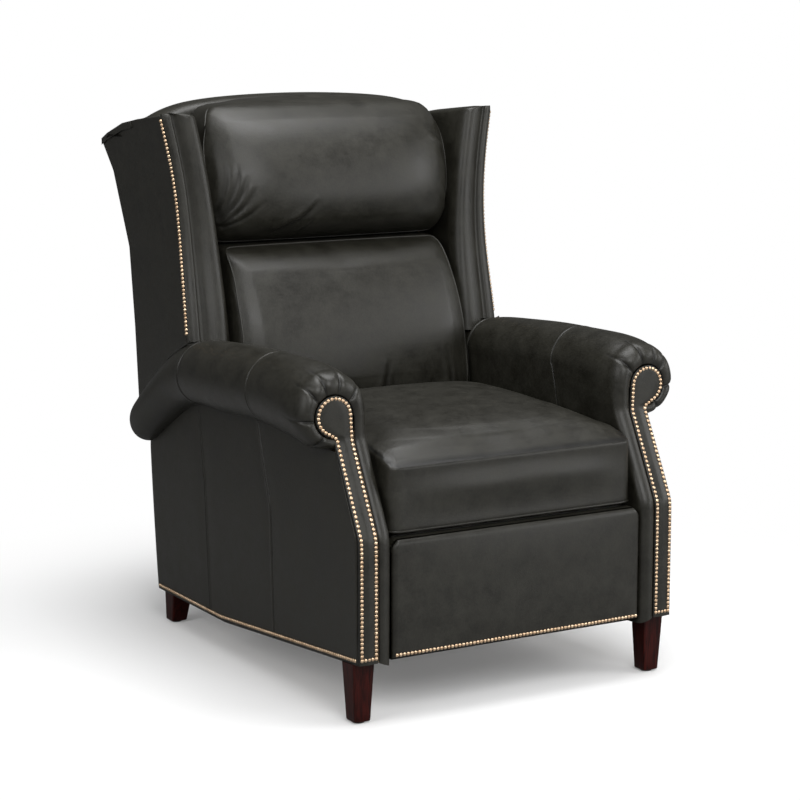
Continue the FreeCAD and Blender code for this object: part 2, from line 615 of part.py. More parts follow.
def rail(name, sign):
    """A steel channel on the arm's inner face, with a ledge for the seat runner."""
    long_y = "sizes.rail_rear - sizes.rail_front"
    low = rail_web_cell if sign > 0 else "-" + rail_web_cell + " - sizes.rail_wall"
    flange = rail_web_cell if sign > 0 else "-" + arm_inner_cell
    ledge = rail_web_cell + " - sizes.ledge_width" if sign > 0 else "-" + rail_web_cell
    web = block(name + "_web", "sizes.rail_wall", long_y, "sizes.rail_height", low, "sizes.rail_front",
                "sizes.rail_low")
    upper = block(name + "_upper", "sizes.rail_depth", long_y, "sizes.rail_wall", flange,
                  "sizes.rail_front", "sizes.rail_low + sizes.rail_height - sizes.rail_wall")
    lower = block(name + "_lower", "sizes.rail_depth", long_y, "sizes.rail_wall", flange,
                  "sizes.rail_front", "sizes.rail_low")
    shelf_long = "sizes.runner_rear + sizes.ledge_spare - sizes.rail_front"
    shelf = block(name + "_shelf", "sizes.ledge_width", shelf_long, "sizes.rail_wall", ledge,
                  "sizes.rail_front", "sizes.ledge_z - sizes.rail_wall")
    whole = doc.addObject("Part::MultiFuse", name)
    whole.Shapes = [web, upper, lower, shelf]
    return node(name, whole)


def runner(name, sign):
    """A steel bar under the seat rail that slides on the rail's ledge."""
    near = "-" + rail_web_cell + " + sizes.seat_gap"
    far = rail_web_cell + " - sizes.seat_gap - sizes.runner_width"
    x = far if sign > 0 else near
    return node(name, block(name, "sizes.runner_width", "sizes.runner_rear - sizes.runner_front",
                            "sizes.runner_height - sizes.seat_gap", x, "sizes.runner_front",
                            "sizes.ledge_z + sizes.seat_gap"))


for side, sign in (("left", 1), ("right", -1)):
    rail("mechanism_rail_" + side, sign)
    runner("seat_runner_" + side, sign)

# Stations of the moving plates across the chair, from the runner inwards
runner_face = rail_web - seat_gap - runner_width
lower_x = runner_face - side_play - steel
upper_x = lower_x - side_play - steel


def plate(label, sign, x_low, first, last, radius, hole, hole_both):
    """A flat steel link with round ends, from one pivot to the other, and its pin holes."""
    axis = Vector(0, last[0] - first[0], last[1] - first[1])
    along = Vector(axis).normalize()
    across = Vector(0, -along.z, along.y) * radius
    start = Vector(x_low, first[0], first[1])
    end = Vector(x_low, last[0], last[1])
    edges = [
        Part.LineSegment(start + across, end + across).toShape(),
        Part.Arc(end + across, end + along * radius, end - across).toShape(),
        Part.LineSegment(end - across, start - across).toShape(),
        Part.Arc(start - across, start - along * radius, start + across).toShape(),
    ]
    shape = Part.Face(Part.Wire(edges)).extrude(Vector(steel, 0, 0))
    holes = [start, end] if hole_both else [start]
    for centre in holes:
        drill = Part.makeCylinder(hole, steel * 3, centre - Vector(steel, 0, 0), Vector(1, 0, 0))
        shape = shape.cut(drill)
    return shape if sign > 0 else mirrored(shape)


def studs(label, y, z, radius, head_radius, x_from, x_to):
    """A pair of headed pins that stand inwards from a plate."""
    shank = Part.makeCylinder(radius, x_from - x_to, Vector(x_to, y, z), Vector(1, 0, 0))
    head = Part.makeCylinder(head_radius, head_thick, Vector(x_to - head_thick, y, z), Vector(1, 0, 0))
    pin = shank.fuse(head).removeSplitter()
    return feature(label, Part.makeCompound([pin, mirrored(pin)]))


pivot_a = (pivot_a_y, pivot_a_z)
pivot_b = (pivot_b_y, pivot_b_z)
pivot_c = (pivot_c_y, pivot_c_z)
running = pin_radius + pin_fit
for side, sign in (("left", 1), ("right", -1)):
    lower = plate("lower_link", sign, lower_x, pivot_a, pivot_c, link_radius, running, False)
    feature("lower_link_" + side, lower)
    upper = plate("upper_link", sign, upper_x, pivot_c, pivot_b, link_radius, running, True)
    feature("upper_link_" + side, upper)
studs("seat_pins", pivot_a_y, pivot_a_z, pin_radius, pin_head, runner_face, lower_x - side_play / 2)
studs("knee_pins", pivot_c_y, pivot_c_z, pin_radius, pin_head, lower_x, upper_x - side_play / 2)
studs("footrest_pins", pivot_b_y, pivot_b_z, pin_radius, pin_head, lower_x, upper_x - side_play / 2)
tube_y = pivot_c_y + (pivot_a_y - pivot_c_y) * tube_share
tube_z = pivot_c_z + (pivot_a_z - pivot_c_z) * tube_share
cross = Part.makeCylinder(tube_radius, 2 * lower_x, Vector(-lower_x, tube_y, tube_z), Vector(1, 0, 0))
feature("link_tube", cross)


# Seat frame, webbing and cushion

seat_z = "sizes.ledge_z + sizes.runner_height"
long_rails = []
for name, x in (("near", "-" + seat_half_cell), ("far", seat_half_cell + " - sizes.seat_rail")):
    long_rails.append(block("seat_side_" + name, "sizes.seat_rail", "sizes.seat_rear - sizes.seat_front",
                            "sizes.seat_rail", x, "sizes.seat_front", seat_z))
group("seat_side_rails", long_rails)
end_rails = []
for name, y in (("front", "sizes.seat_front"), ("rear", "sizes.seat_rear - sizes.seat_rail")):
    end_rails.append(block("seat_end_" + name, "2 * " + seat_half_cell + " - 2 * sizes.seat_rail",
                           "sizes.seat_rail", "sizes.seat_rail",
                           "-" + seat_half_cell + " + sizes.seat_rail", y, seat_z))
group("seat_cross_rails", end_rails)
straps = []
deck_z = seat_z + " + sizes.seat_rail"
for k in range(int(seat_straps)):
    x = "-sizes.strap_width / 2 + (%d - (sizes.seat_straps - 1) / 2) * sizes.strap_pitch" % k
    straps.append(block("seat_strap_%d" % k, "sizes.strap_width", "sizes.seat_rear - sizes.seat_front",
                        "sizes.strap_thick", x, "sizes.seat_front", deck_z))
for k in range(int(seat_cross_straps)):
    y = "sizes.seat_front + sizes.cross_start + %d * sizes.cross_pitch" % k
    straps.append(block("seat_cross_strap_%d" % k, "2 * " + seat_half_cell, "sizes.strap_width",
                        "sizes.strap_thick", "-" + seat_half_cell, y, deck_z + " + sizes.strap_thick"))
group("seat_webbing", straps)


def crowned(place, half, low, high, crown, corner):
    """A closed section: flat below, upright sides, and a crowned top between rounded edges."""
    inset = corner * (1 - math.sqrt(0.5))
    corners = {
        "low_right": (half - corner, low), "right_low": (half, low + corner),
        "right_high": (half, high - corner), "high_right": (half - corner, high),
    }
    def at(a, b):
        return place(a, b)
    def arc(first, middle, last):
        return Part.Arc(at(*first), at(*middle), at(*last)).toShape()
    def line(first, last):
        return Part.LineSegment(at(*first), at(*last)).toShape()
    def flip(point):
        return (-point[0], point[1])
    c = corners
    low_mid = (half - inset, low + inset)
    high_mid = (half - inset, high - inset)
    edges = [
        line(flip(c["low_right"]), c["low_right"]),
        arc(c["low_right"], low_mid, c["right_low"]),
        line(c["right_low"], c["right_high"]),
        arc(c["right_high"], high_mid, c["high_right"]),
        arc(c["high_right"], (0, high + crown), flip(c["high_right"])),
        arc(flip(c["high_right"]), flip(high_mid), flip(c["right_high"])),
        line(flip(c["right_high"]), flip(c["right_low"])),
        arc(flip(c["right_low"]), flip(low_mid), flip(c["low_right"])),
    ]
    return Part.Wire(edges)


def seat_section(y, half, low, high, crown):
    """One upright slice of the seat cushion."""
    return crowned(lambda a, b: Vector(a, y, b), half, low, high, crown, cushion_corner)


cushion_low = ledge_z + runner_height + seat_rail + 2 * strap_thick + seat_gap
cushion_length = cushion_rear - cushion_front
slices = []
for share, fall, crown in zip(cushion_shares, cushion_falls, cushion_crowns):
    at_end = share in (0, 1)
    narrow = cushion_end if at_end else cushion_waist * math.sin(math.pi * share) ** 2
    low = cushion_low + cushion_lift if at_end else cushion_low
    y = cushion_front + share * cushion_length
    slices.append(seat_section(y, cushion_half - narrow, low, cushion_top - fall, cushion_crown * crown))
feature("seat_cushion", Part.makeLoft(slices, True, True))


# Footrest

pad_rear = front_y + pad_thick
node("footrest_board", block("footrest_board", "2 * " + board_half_cell, "sizes.board_thick",
                             "sizes.pad_level_5 - 2 * sizes.board_margin", "-" + board_half_cell,
                             "sizes.front_y + sizes.pad_thick", "sizes.pad_low + sizes.board_margin"))
pad_slices = []
for level, narrow, inset in zip(pad_levels, pad_narrows, pad_insets):
    swell = pad_crown if inset == 0 else 1
    z = pad_low + level
    front = -front_y - inset - swell * pad_sink
    place = lambda a, b, z=z: Vector(a, -b, z)
    pad_slices.append(crowned(place, pad_half - narrow, -pad_rear, front, swell, pad_corner))
footrest_pad = Part.makeLoft(pad_slices, True, True)
feature("footrest_pad", footrest_pad)


def bracket():
    """A steel angle on the board's rear face that holds the footrest pin."""
    board_back = pad_rear + board_thick
    ear = slab(lower_x, lower_x + steel, board_back, pivot_b_y, pivot_b_z - link_radius,
               pivot_b_z + link_radius)
    eye = Part.makeCylinder(link_radius, steel, Vector(lower_x, pivot_b_y, pivot_b_z), Vector(1, 0, 0))
    foot = slab(lower_x - foot_flange, lower_x + steel, board_back, board_back + foot_plate,
                pivot_b_z - foot_reach, pivot_b_z + foot_reach)
    return ear.fuse([eye, foot]).removeSplitter()


feature("footrest_brackets", Part.makeCompound([bracket(), mirrored(bracket())]))


# Back frame

def back_place(x, depth, height):
    """Placement of a piece given across the chair, into the back and up along it."""
    turn = FreeCAD.Rotation(Vector(1, 0, 0), -back_rake)
    offset = turn.multVec(Vector(x, depth, height))
    return FreeCAD.Placement(Vector(0, back_y, back_z) + offset, turn)


def back_block(name, length, width, height, x, depth, up):
    """A block that follows the back's rake."""
    thing = doc.addObject("Part::Box", name)
    bind(thing, {"Length": length, "Width": width, "Height": height})
    thing.Placement = back_place(x, depth, up)
    return thing


for side, x in (("left", stile_outer - stile_width), ("right", -stile_outer)):
    node("back_stile_" + side, back_block("back_stile_" + side, "sizes.stile_width", "sizes.stile_depth",
                                          "sizes.stile_high - sizes.stile_low", x, 0, stile_low))


def wing_outer_front(z):
    """Distance of the wing's outer front edge from the middle."""
    return base_half + blend(z, wing_levels, wing_outs)


def wing_front(z):
    """Place of the wing's outer front edge along Y."""
    return blend(z, wing_levels, wing_fronts)


def rear_half(z):
    """Half width of the chair's back at its rear edge."""
    return base_half + blend(z, rear_levels, rear_outs)


def rear_edge(z):
    """Place of the back's rear face along Y."""
    return blend(z, rear_levels, rear_places)


def stile_back(z):
    """Place of the back stiles' rear face along Y."""
    slope = math.tan(math.radians(back_rake))
    return back_y + slope * (z - back_z) + stile_depth / math.cos(math.radians(back_rake))


def wing_line(z, y):
    """Outer face of the wing at a height and a place along Y."""
    share = (y - wing_front(z)) / (rear_edge(z) - wing_front(z))
    return wing_outer_front(z) + share * (rear_half(z) - wing_outer_front(z))


rail_reach = wing_line(rail_fit_z, stile_back(rail_fit_z)) - wing_skin - wing_board - 3 * seat_gap - rail_fit
for label, up in (("back_rail_low", back_rail_low), ("back_rail_top", back_rail_top)):
    node(label, back_block(label, str(2 * rail_reach), "sizes.back_rail_depth", "sizes.back_rail_height",
                           -rail_reach, stile_depth, up))
web = []
for k in range(int(back_straps)):
    run = stile_high - back_strap_top - stile_low - back_strap_low
    up = stile_low + back_strap_low + k * run / (back_straps - 1) - strap_width / 2
    web.append(back_block("back_strap_%d" % k, "2 * " + stile_outer_cell, "sizes.strap_thick",
                          "sizes.strap_width", -stile_outer, -strap_thick, up))
group("back_webbing", web)

# Hinge arms turn on pins that stand inwards from the mechanism rails
hinge_top = back_place(0, stile_depth / 2, 0).Base
arm_x = stile_outer
hinge_arm = plate("hinge_arm", 1, arm_x, (hinge_y, hinge_z), (hinge_top.y, hinge_top.z), hinge_plate,
                  hinge_radius + pin_fit, False)
feature("hinge_arms", Part.makeCompound([hinge_arm, mirrored(hinge_arm)]))
studs("hinge_pins", hinge_y, hinge_z, hinge_radius, hinge_head, rail_web, arm_x - side_play / 2)


# Wings, outside back and crest

def level_wire(points, z):
    """A closed wire of straight lines at one height."""
    corners = [Vector(x, y, z) for x, y in points]
    return Part.makePolygon(corners + corners[:1])


def panel_wire(z, outer, thick, front_in, rear_in):
    """A slice of a flat wing layer, offset inwards from the wing's outer face."""
    front = wing_front(z) + front_in
    rear = rear_edge(z) - rear_in
    front_x, rear_x = wing_line(z, front) - outer, wing_line(z, rear) - outer
    return level_wire([(front_x, front), (rear_x, rear), (rear_x - thick, rear), (front_x - thick, front)], z)


def pad_wire(z):
    """A slice of the wing's padded inside, with the rounded roll at its front."""
    outer = wing_skin + wing_board + 2 * seat_gap
    front = wing_front(z) - seat_gap
    shelf = front + wing_frame_inset
    inner_front = arm_inner + blend(z, wing_levels, pad_heels)
    inner_rear = arm_inner + blend(z, wing_levels, pad_rears)
    rear = stile_back(z) - wing_rear_gap
    tip = Vector(wing_outer_front(z), front, z)
    heel = Vector(inner_front, front + wing_heel, z)
    middle = Vector((tip.x + heel.x) / 2, front - wing_bulge, z)
    skin = wing_skin + seat_gap
    path = [heel, Vector(inner_rear, rear, z), Vector(wing_line(z, rear) - outer, rear, z),
            Vector(wing_line(z, shelf) - outer, shelf, z), Vector(wing_line(z, shelf) - skin, shelf, z),
            Vector(wing_line(z, front) - skin, front, z), tip]
    edges = [Part.Arc(tip, middle, heel).toShape()]
    edges += [Part.LineSegment(a, b).toShape() for a, b in zip(path, path[1:])]
    return Part.Wire(edges)


def wing_room():
    """The space over the arm roll and above the wing's sloping top, which the wing keeps out of."""
    gap = wing_arm_gap
    floor, sky = roll_rear_z - 4 * margin, crest_top + 4 * margin
    seam_top = roll_seam_z + roll_seam_radius + gap
    rear_y = roll_rear_y + close_reaches[0] + 2 * gap
    rear_z = roll_rear_z + roll_rear_radius - close_steps[0] + gap
    low = [
        (0, floor, 0),
        (0, roll_mid_z + roll_mid_radius + gap, 0),
        (roll_seam_y, seam_top, 0),
        ((roll_seam_y + roll_rear_y) / 2, sagging_z + roll_seam_radius + gap, 0),
        (rear_y, rear_z, 0),
        (rear_places[-1] + margin, rear_z, 0),
        (rear_places[-1] + margin, floor, 0),
    ]
    high = [(0, sky, 0), (0, wing_front_z + wing_top_lead, 0), (wing_front(wing_front_z), wing_front_z, 0)]
    high += [(place, wing_front_z - fall, 0) for place, fall in zip(wing_tops, wing_falls)]
    high += [(wing_tops[-1], sky, 0)]
    inner, outer = arm_inner - 2 * margin, base_half + 4 * margin
    return yz_prism(low, inner, outer).fuse(yz_prism(high, inner, outer))


keep_out = wing_room()


def wing_loft(wires):
    """A wing layer through its slices, trimmed over the arm and along the top."""
    return Part.makeLoft(wires, True, True).cut(keep_out)


skin_back = side_skin + seat_gap
both_sides("wing_outside", wing_loft([panel_wire(z, 0, wing_skin, 0, 0) for z in wing_levels]))
frame_wires = [panel_wire(z, wing_skin + seat_gap, wing_board, wing_frame_inset, skin_back) for z in wing_levels]
both_sides("wing_frame", wing_loft(frame_wires))
both_sides("wing_pad", wing_loft([pad_wire(z) for z in wing_levels]))


def back_wire(z):
    """A slice of the outside back panel between the wings' outside panels."""
    half = rear_half(z) - wing_skin - seat_gap
    rear = rear_edge(z)
    return level_wire([(-half, rear - side_skin), (half, rear - side_skin), (half, rear), (-half, rear)], z)


back_levels = [back_low] + rear_levels[1:-1] + [crest_low]
feature("outside_back", Part.makeLoft([back_wire(z) for z in back_levels], True, True))


def crest_wire(x):
    """An upright slice of the crest from front to rear, lower towards its ends."""
    top = crest_top - crest_drop * (x / crest_half) ** 2
    low = crest_low + seat_gap
    rear = rear_edge(crest_low)
    corners = [
        (crest_front, low, 0),
        (crest_front, top, crest_edge),
        (crest_front + crest_flat, top, crest_turn),
        (rear - crest_tail, top - crest_fall, crest_tail_edge),
        (rear, low + crest_lip, 0),
        (rear, low, 0),
    ]
    return outline(corners, lambda p: Vector(x, p.x, p.y))


crest_slices = [crest_wire(k * crest_half / 4) for k in range(-4, 5)]
crest_shape = Part.makeLoft(crest_slices, True, True)
wing_depth = wing_skin + wing_board + 2 * seat_gap
wing_blocks = Part.makeLoft([panel_wire(z, -margin, margin + wing_depth, 0, -2 * margin)
                             for z in wing_levels[3:]], True, True)
pad_room = Part.makeLoft([pad_wire(z) for z in wing_levels[3:]], True, True)
pad_gap = pad_room.copy()
pad_gap.translate(Vector(-seat_gap, seat_gap, 0))
for room in (wing_blocks, pad_room, pad_gap):
    crest_shape = crest_shape.cut([room, mirrored(room)])
feature("crest_pad", crest_shape)


# Back cushion and head pillow

def back_slice(z, half, front, crown, corner):
    """A level slice of a back cushion: flat at its rear and crowned to the front."""
    slope = math.tan(math.radians(back_rake))
    rear = back_y + slope * (z - back_z) - strap_thick / math.cos(math.radians(back_rake)) - seat_gap
    return crowned(lambda a, b: Vector(a, -b, z), half, -rear, -front, crown, corner)


cushion_rise = back_cushion_top - back_cushion_low
back_slices = []
for share, narrow, front, crown in zip(back_shares, back_narrows, back_fronts, back_crowns):
    z = back_cushion_low + share * cushion_rise
    back_slices.append(back_slice(z, back_cushion_half - narrow, front, crown, back_corner))
feature("back_cushion", Part.makeLoft(back_slices, True, True))

pillow_low = back_cushion_top + pillow_gap
pillow_rise = pillow_top - pillow_low
pillow_slices = []
for share, narrow, front, crown in zip(pillow_shares, pillow_narrows, pillow_fronts, pillow_crowns):
    z = pillow_low + share * pillow_rise
    pillow_slices.append(back_slice(z, pillow_half - narrow, front, crown, pillow_corner))
feature("head_pillow", Part.makeLoft(pillow_slices, True, True))


# Nails

def evenly(points, pitch):
    """Points at an even pitch along a run of straight stretches, with the direction there."""
    lengths = [(b - a).Length for a, b in zip(points, points[1:])]
    total = sum(lengths)
    count = max(int(round(total / pitch)), 1)
    found = []
    for k in range(count + 1):
        rest = total * k / count
        for (a, b), length in zip(zip(points, points[1:]), lengths):
            if rest <= length + 1e-6:
                break
            rest -= length
        found.append(a + (b - a) * (rest / length))
    return found


def nail(point, outward):
    """One nail head: a low cone that sits on the leather."""
    return Part.makeCone(nail_radius, nail_crown, nail_height, point, outward)


def face_y(z):
    """Front line of the arm at a height."""
    return blend(z, (0, knee_z, neck_z, crest_top), (front_y, front_y, neck_y, neck_y))


def face_normal(z):
    """Outward direction of the arm's front at a height."""
    if knee_z < z < neck_z:
        return Vector(0, -(neck_z - knee_z), neck_y - front_y).normalize()
    return Vector(0, -1, 0)


def facing_nails():
    """Nails up the facing's inner edge, round its scroll and down its outer edge."""
    radius = scroll_radius - nail_inset
    inner = facing_inner + nail_inset
    outer = base_half - nail_inset
    low = hem_front + front_nail_low
    path = [Vector(inner, 0, low), Vector(inner, 0, knee_z), Vector(inner, 0, neck_z),
            Vector(roll_x - radius, 0, roll_front_z)]
    for turn in range(180, -91, -10):
        angle = math.radians(turn)
        path.append(Vector(roll_x + radius * math.cos(angle), 0, roll_front_z + radius * math.sin(angle)))
    path.append(Vector(outer, 0, neck_z))
    path.append(Vector(outer, 0, knee_z))
    path.append(Vector(outer, 0, low))
    path = [Vector(p.x, face_y(p.z), p.z) for p in path]
    row = evenly(path, nail_pitch)
    bottom = evenly([row[0], row[-1]], nail_pitch)[1:-1]
    return [nail(seated(p, facing_now), face_normal(p.z)).cut(facing_now) for p in row + bottom]


def seated(point, shape):
    """Move a nail along Y onto the front of the panel that it holds."""
    line = Part.LineSegment(Vector(point.x, front_y - margin, point.z),
                            Vector(point.x, neck_y + margin, point.z))
    hit = shape.common(line.toShape())
    if not hit.Vertexes:
        return point
    return Vector(point.x, min(v.Y for v in hit.Vertexes), point.z)


facing_now = facing_shape()
front_nails = facing_nails()
feature("arm_front_nails", Part.makeCompound(front_nails + [mirrored(n) for n in front_nails]))


def hem_nails():
    """Nails along the sloping bottom edge of the side panel."""
    ends = (front_y + hem_nail_ends[0], hem_turn_y, rear_low_y - hem_nail_ends[1])
    path = [Vector(base_half, y, hem_height(y) + hem_nail_rise) for y in ends]
    turn = side_turn()
    pivot = Vector(base_half, front_y, 0)
    spots = [pivot + turn.multVec(p - pivot) for p in evenly(path, nail_pitch)]
    return [nail(p, turn.multVec(Vector(1, 0, 0))) for p in spots]


side_nails = hem_nails()
feature("side_hem_nails", Part.makeCompound(side_nails + [mirrored(n) for n in side_nails]))


def wing_nails():
    """Nails up the wing's outer front edge."""
    low = roll_seam_z + roll_seam_radius + wing_arm_gap + wing_nail_low
    levels = [low] + [z for z in wing_levels if low < z < wing_front_z] + [wing_front_z - wing_nail_top]
    path = [Vector(wing_line(z, wing_front(z) + nail_radius), wing_front(z) + nail_radius, z) for z in levels]
    return [nail(p + wing_normal(p) * nail_lift, wing_normal(p)) for p in evenly(path, nail_pitch)]


def wing_normal(point):
    """Outward direction of the wing's outer face at a point."""
    here = wing_line(point.z, point.y)
    along = wing_line(point.z, point.y + 1) - here
    up = wing_line(point.z + 1, point.y) - here
    return Vector(1, -along, -up).normalize()


wing_row = wing_nails()
feature("wing_nails", Part.makeCompound(wing_row + [mirrored(n) for n in wing_row]))


def footrest_row():
    """Nails along the footrest's lower edge."""
    z = pad_low + foot_nail_inset
    reach = pad_half - foot_nail_inset
    spots = evenly([Vector(-reach, front_y, z), Vector(reach, front_y, z)], nail_pitch)
    return [nail(seated(p, footrest_pad), Vector(0, -1, 0)).cut(footrest_pad) for p in spots]


feature("footrest_nails", Part.makeCompound(footrest_row()))

doc.recompute()


def check():
    """Stop if an object failed or a node's shape is empty or invalid."""
    for thing in doc.Objects:
        if any(word in thing.State for word in ("Invalid", "Error")):
            raise RuntimeError("failed object: " + thing.Label)
    for thing in nodes:
        shape = thing.Shape
        if shape.isNull() or not shape.Solids or not shape.isValid():
            raise RuntimeError("bad shape: " + thing.Label)


check()
os.makedirs("parts", exist_ok=True)
whole = FreeCAD.BoundBox()
for thing in nodes:
    thing.Shape.exportStep(os.path.join("parts", thing.Label + ".step"))
    whole.add(thing.Shape.BoundBox)
    print("%-24s solids %4d volume %12.0f" % (thing.Label, len(thing.Shape.Solids), thing.Shape.Volume))
print("nodes", len(nodes), "box", whole)
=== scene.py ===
import json
import bmesh
import bpy
import numpy as np
from mathutils import Matrix, Vector
from mathutils.bvhtree import BVHTree


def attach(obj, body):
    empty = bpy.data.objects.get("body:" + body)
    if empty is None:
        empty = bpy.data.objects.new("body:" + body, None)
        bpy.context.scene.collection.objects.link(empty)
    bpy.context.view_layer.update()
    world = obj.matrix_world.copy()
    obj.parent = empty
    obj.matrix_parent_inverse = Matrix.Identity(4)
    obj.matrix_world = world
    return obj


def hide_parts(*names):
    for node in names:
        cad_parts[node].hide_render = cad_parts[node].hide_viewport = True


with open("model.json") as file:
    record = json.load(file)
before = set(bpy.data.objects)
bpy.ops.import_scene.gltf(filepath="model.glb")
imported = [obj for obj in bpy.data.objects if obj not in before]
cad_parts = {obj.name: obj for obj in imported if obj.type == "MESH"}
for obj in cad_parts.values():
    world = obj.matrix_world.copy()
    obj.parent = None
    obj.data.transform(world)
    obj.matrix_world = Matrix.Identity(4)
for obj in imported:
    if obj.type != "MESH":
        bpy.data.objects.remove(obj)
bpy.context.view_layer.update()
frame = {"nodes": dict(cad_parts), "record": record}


# Legs: square tapered legs of stained wood, screwed up under the corners of the base.
# The rear pair leans back a little. Every edge is eased, and the top follows the sloping hem.

def curve(x, knots):
    """The natural cubic spline through (place, value) knots, read at x and level beyond its ends."""
    place, value = np.array(knots, float).T
    step = np.diff(place)
    count = len(place)
    system = np.eye(count)
    turn = np.zeros(count)
    for i in range(1, count - 1):
        system[i, i - 1:i + 2] = step[i - 1], 2 * (step[i - 1] + step[i]), step[i]
        turn[i] = 6 * ((value[i + 1] - value[i]) / step[i] - (value[i] - value[i - 1]) / step[i - 1])
    bend = np.linalg.solve(system, turn)
    x = np.clip(x, place[0], place[-1])
    k = np.clip(np.searchsorted(place, x) - 1, 0, count - 2)
    a = (place[k + 1] - x) / step[k]
    b = 1 - a
    curved = ((a ** 3 - a) * bend[k] + (b ** 3 - b) * bend[k + 1]) * step[k] ** 2 / 6
    return a * value[k] + b * value[k + 1] + curved


def line(x, knots):
    """Straight-line reading of (place, value) knots at x."""
    place, value = np.array(knots, float).T
    return np.interp(x, place, value)


def skin(name, points, inside, marks=None):
    """A mesh from a grid of points in millimetres. Corners that meet are merged, faces look away
    from the inside point, and each mark is a number per point for the material to read."""
    rows, columns = points.shape[:2]
    index = np.arange(rows * columns).reshape(rows, columns)
    quads = np.stack([index[:-1, :-1], index[:-1, 1:], index[1:, 1:], index[1:, :-1]], -1).reshape(-1, 4)
    mesh = bpy.data.meshes.new(name)
    mesh.from_pydata((points.reshape(-1, 3) / 1000).tolist(), [], quads.tolist())
    for label, values in (marks or {}).items():
        mark = mesh.attributes.new(label, "FLOAT", "POINT")
        mark.data.foreach_set("value", np.broadcast_to(values, points.shape[:2]).astype(np.float32).ravel())
    work = bmesh.new()
    work.from_mesh(mesh)
    bmesh.ops.remove_doubles(work, verts=work.verts, dist=1e-5)
    bmesh.ops.dissolve_degenerate(work, edges=work.edges, dist=1e-6)
    work.to_mesh(mesh)
    work.free()
    count = len(mesh.polygons)
    normal, centre, area = np.zeros(count * 3), np.zeros(count * 3), np.zeros(count)
    mesh.polygons.foreach_get("normal", normal)
    mesh.polygons.foreach_get("center", centre)
    mesh.polygons.foreach_get("area", area)
    away = centre.reshape(-1, 3) - np.array(inside) / 1000
    if (np.einsum("ij,ij->i", normal.reshape(-1, 3), away) * area).sum() < 0:
        mesh.flip_normals()
    mesh.shade_smooth()
    piece = bpy.data.objects.new(name, mesh)
    bpy.context.scene.collection.objects.link(piece)
    return piece


def fit(piece, material, slot, body, *nodes):
    """Give a piece its material and put it on its body in place of CAD nodes. The slot is not used."""
    piece.data.materials.clear()
    piece.data.materials.append(material)
    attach(piece, body)
    if nodes:
        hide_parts(*nodes)
    return piece


def new_material(name):
    """A new node material, with its node tree and its Principled shader."""
    material = bpy.data.materials.new(name)
    material.use_nodes = True
    tree = material.node_tree
    shader = tree.nodes["Principled BSDF"]
    return material, tree, shader


def add(tree, kind, links=(), **settings):
    """One shader node: settings are its properties or its unlinked inputs, links join its inputs."""
    made = tree.nodes.new(kind)
    for key, value in settings.items():
        if hasattr(made, key) and key not in made.inputs:
            setattr(made, key, value)
        else:
            made.inputs[key.replace("_", " ")].default_value = value
    for key, source in dict(links).items():
        tree.links.new(source, made.inputs[key])
    return made


stained, tree, shader = new_material("stained_wood")
place = add(tree, "ShaderNodeTexCoord").outputs["Object"]
stretch = add(tree, "ShaderNodeMapping", {"Vector": place}, Scale=(60, 60, 5)).outputs[0]
grain = add(tree, "ShaderNodeTexNoise", {"Vector": stretch}, Scale=4.0, Detail=6.0, Distortion=0.8)
tone = add(tree, "ShaderNodeValToRGB", {"Fac": grain.outputs["Fac"]})
tone.color_ramp.elements[0].position = 0.35
tone.color_ramp.elements[0].color = (0.010, 0.0012, 0.0008, 1)
tone.color_ramp.elements[1].position = 0.7
tone.color_ramp.elements[1].color = (0.044, 0.0050, 0.0032, 1)
pores = add(tree, "ShaderNodeBump", {"Height": grain.outputs["Fac"]}, Strength=0.15, Distance=0.0006)
tree.links.new(tone.outputs[0], shader.inputs["Base Color"])
tree.links.new(pores.outputs[0], shader.inputs["Normal"])
shader.inputs["Roughness"].default_value = 0.34
shader.inputs["Specular IOR Level"].default_value = 0.16

hem_line = [(-537, 120), (40, 72), (347, 72)]


def tapered_leg(x, y, rake):
    """Around v runs a rounded square; up t its half width grows from foot to top and its middle
    moves against the rake. Rows close to a point under the foot and over the top."""
    top = line(y, hem_line)
    turn = np.linspace(0, 2 * np.pi, 65)
    square = np.stack([np.cos(turn), np.sin(turn)], -1)
    square = np.sign(square) * np.abs(square) ** 0.16
    glide = 3
    levels = np.array([glide, glide, glide, 4, 6, 20, min(50, top - 34), min(80, top - 20), min(110, top - 8),
                       top - 0.5])
    inset = np.array([17, 9, 2.6, 0.8, 0, 0, 0, 0, 0, 0])
    share = (levels - glide) / (top - glide)
    foot_half, flare = 17, 6
    half = foot_half + flare * share - inset
    level = levels[:, None] + 0 * turn
    rise = square[None, :, 1] * half[:, None]
    level = level + np.where(levels[:, None] > top - 5, (line(y + rise, hem_line) - top), 0)
    return np.stack([x + half[:, None] * square[None, :, 0], y + rake * (1 - share[:, None]) + rise, level], -1)


for end, leg_x, leg_y, rake in (("front", 331, -492, 0), ("rear", 312, 312, 14)):
    for side, sign in (("left", 1), ("right", -1)):
        name = "leg_%s_%s" % (end, side)
        leg = skin(name + "_turned", tapered_leg(sign * leg_x, leg_y, rake), (sign * leg_x, leg_y, 60))
        fit(leg, stained, "dark_wood", "base", name)
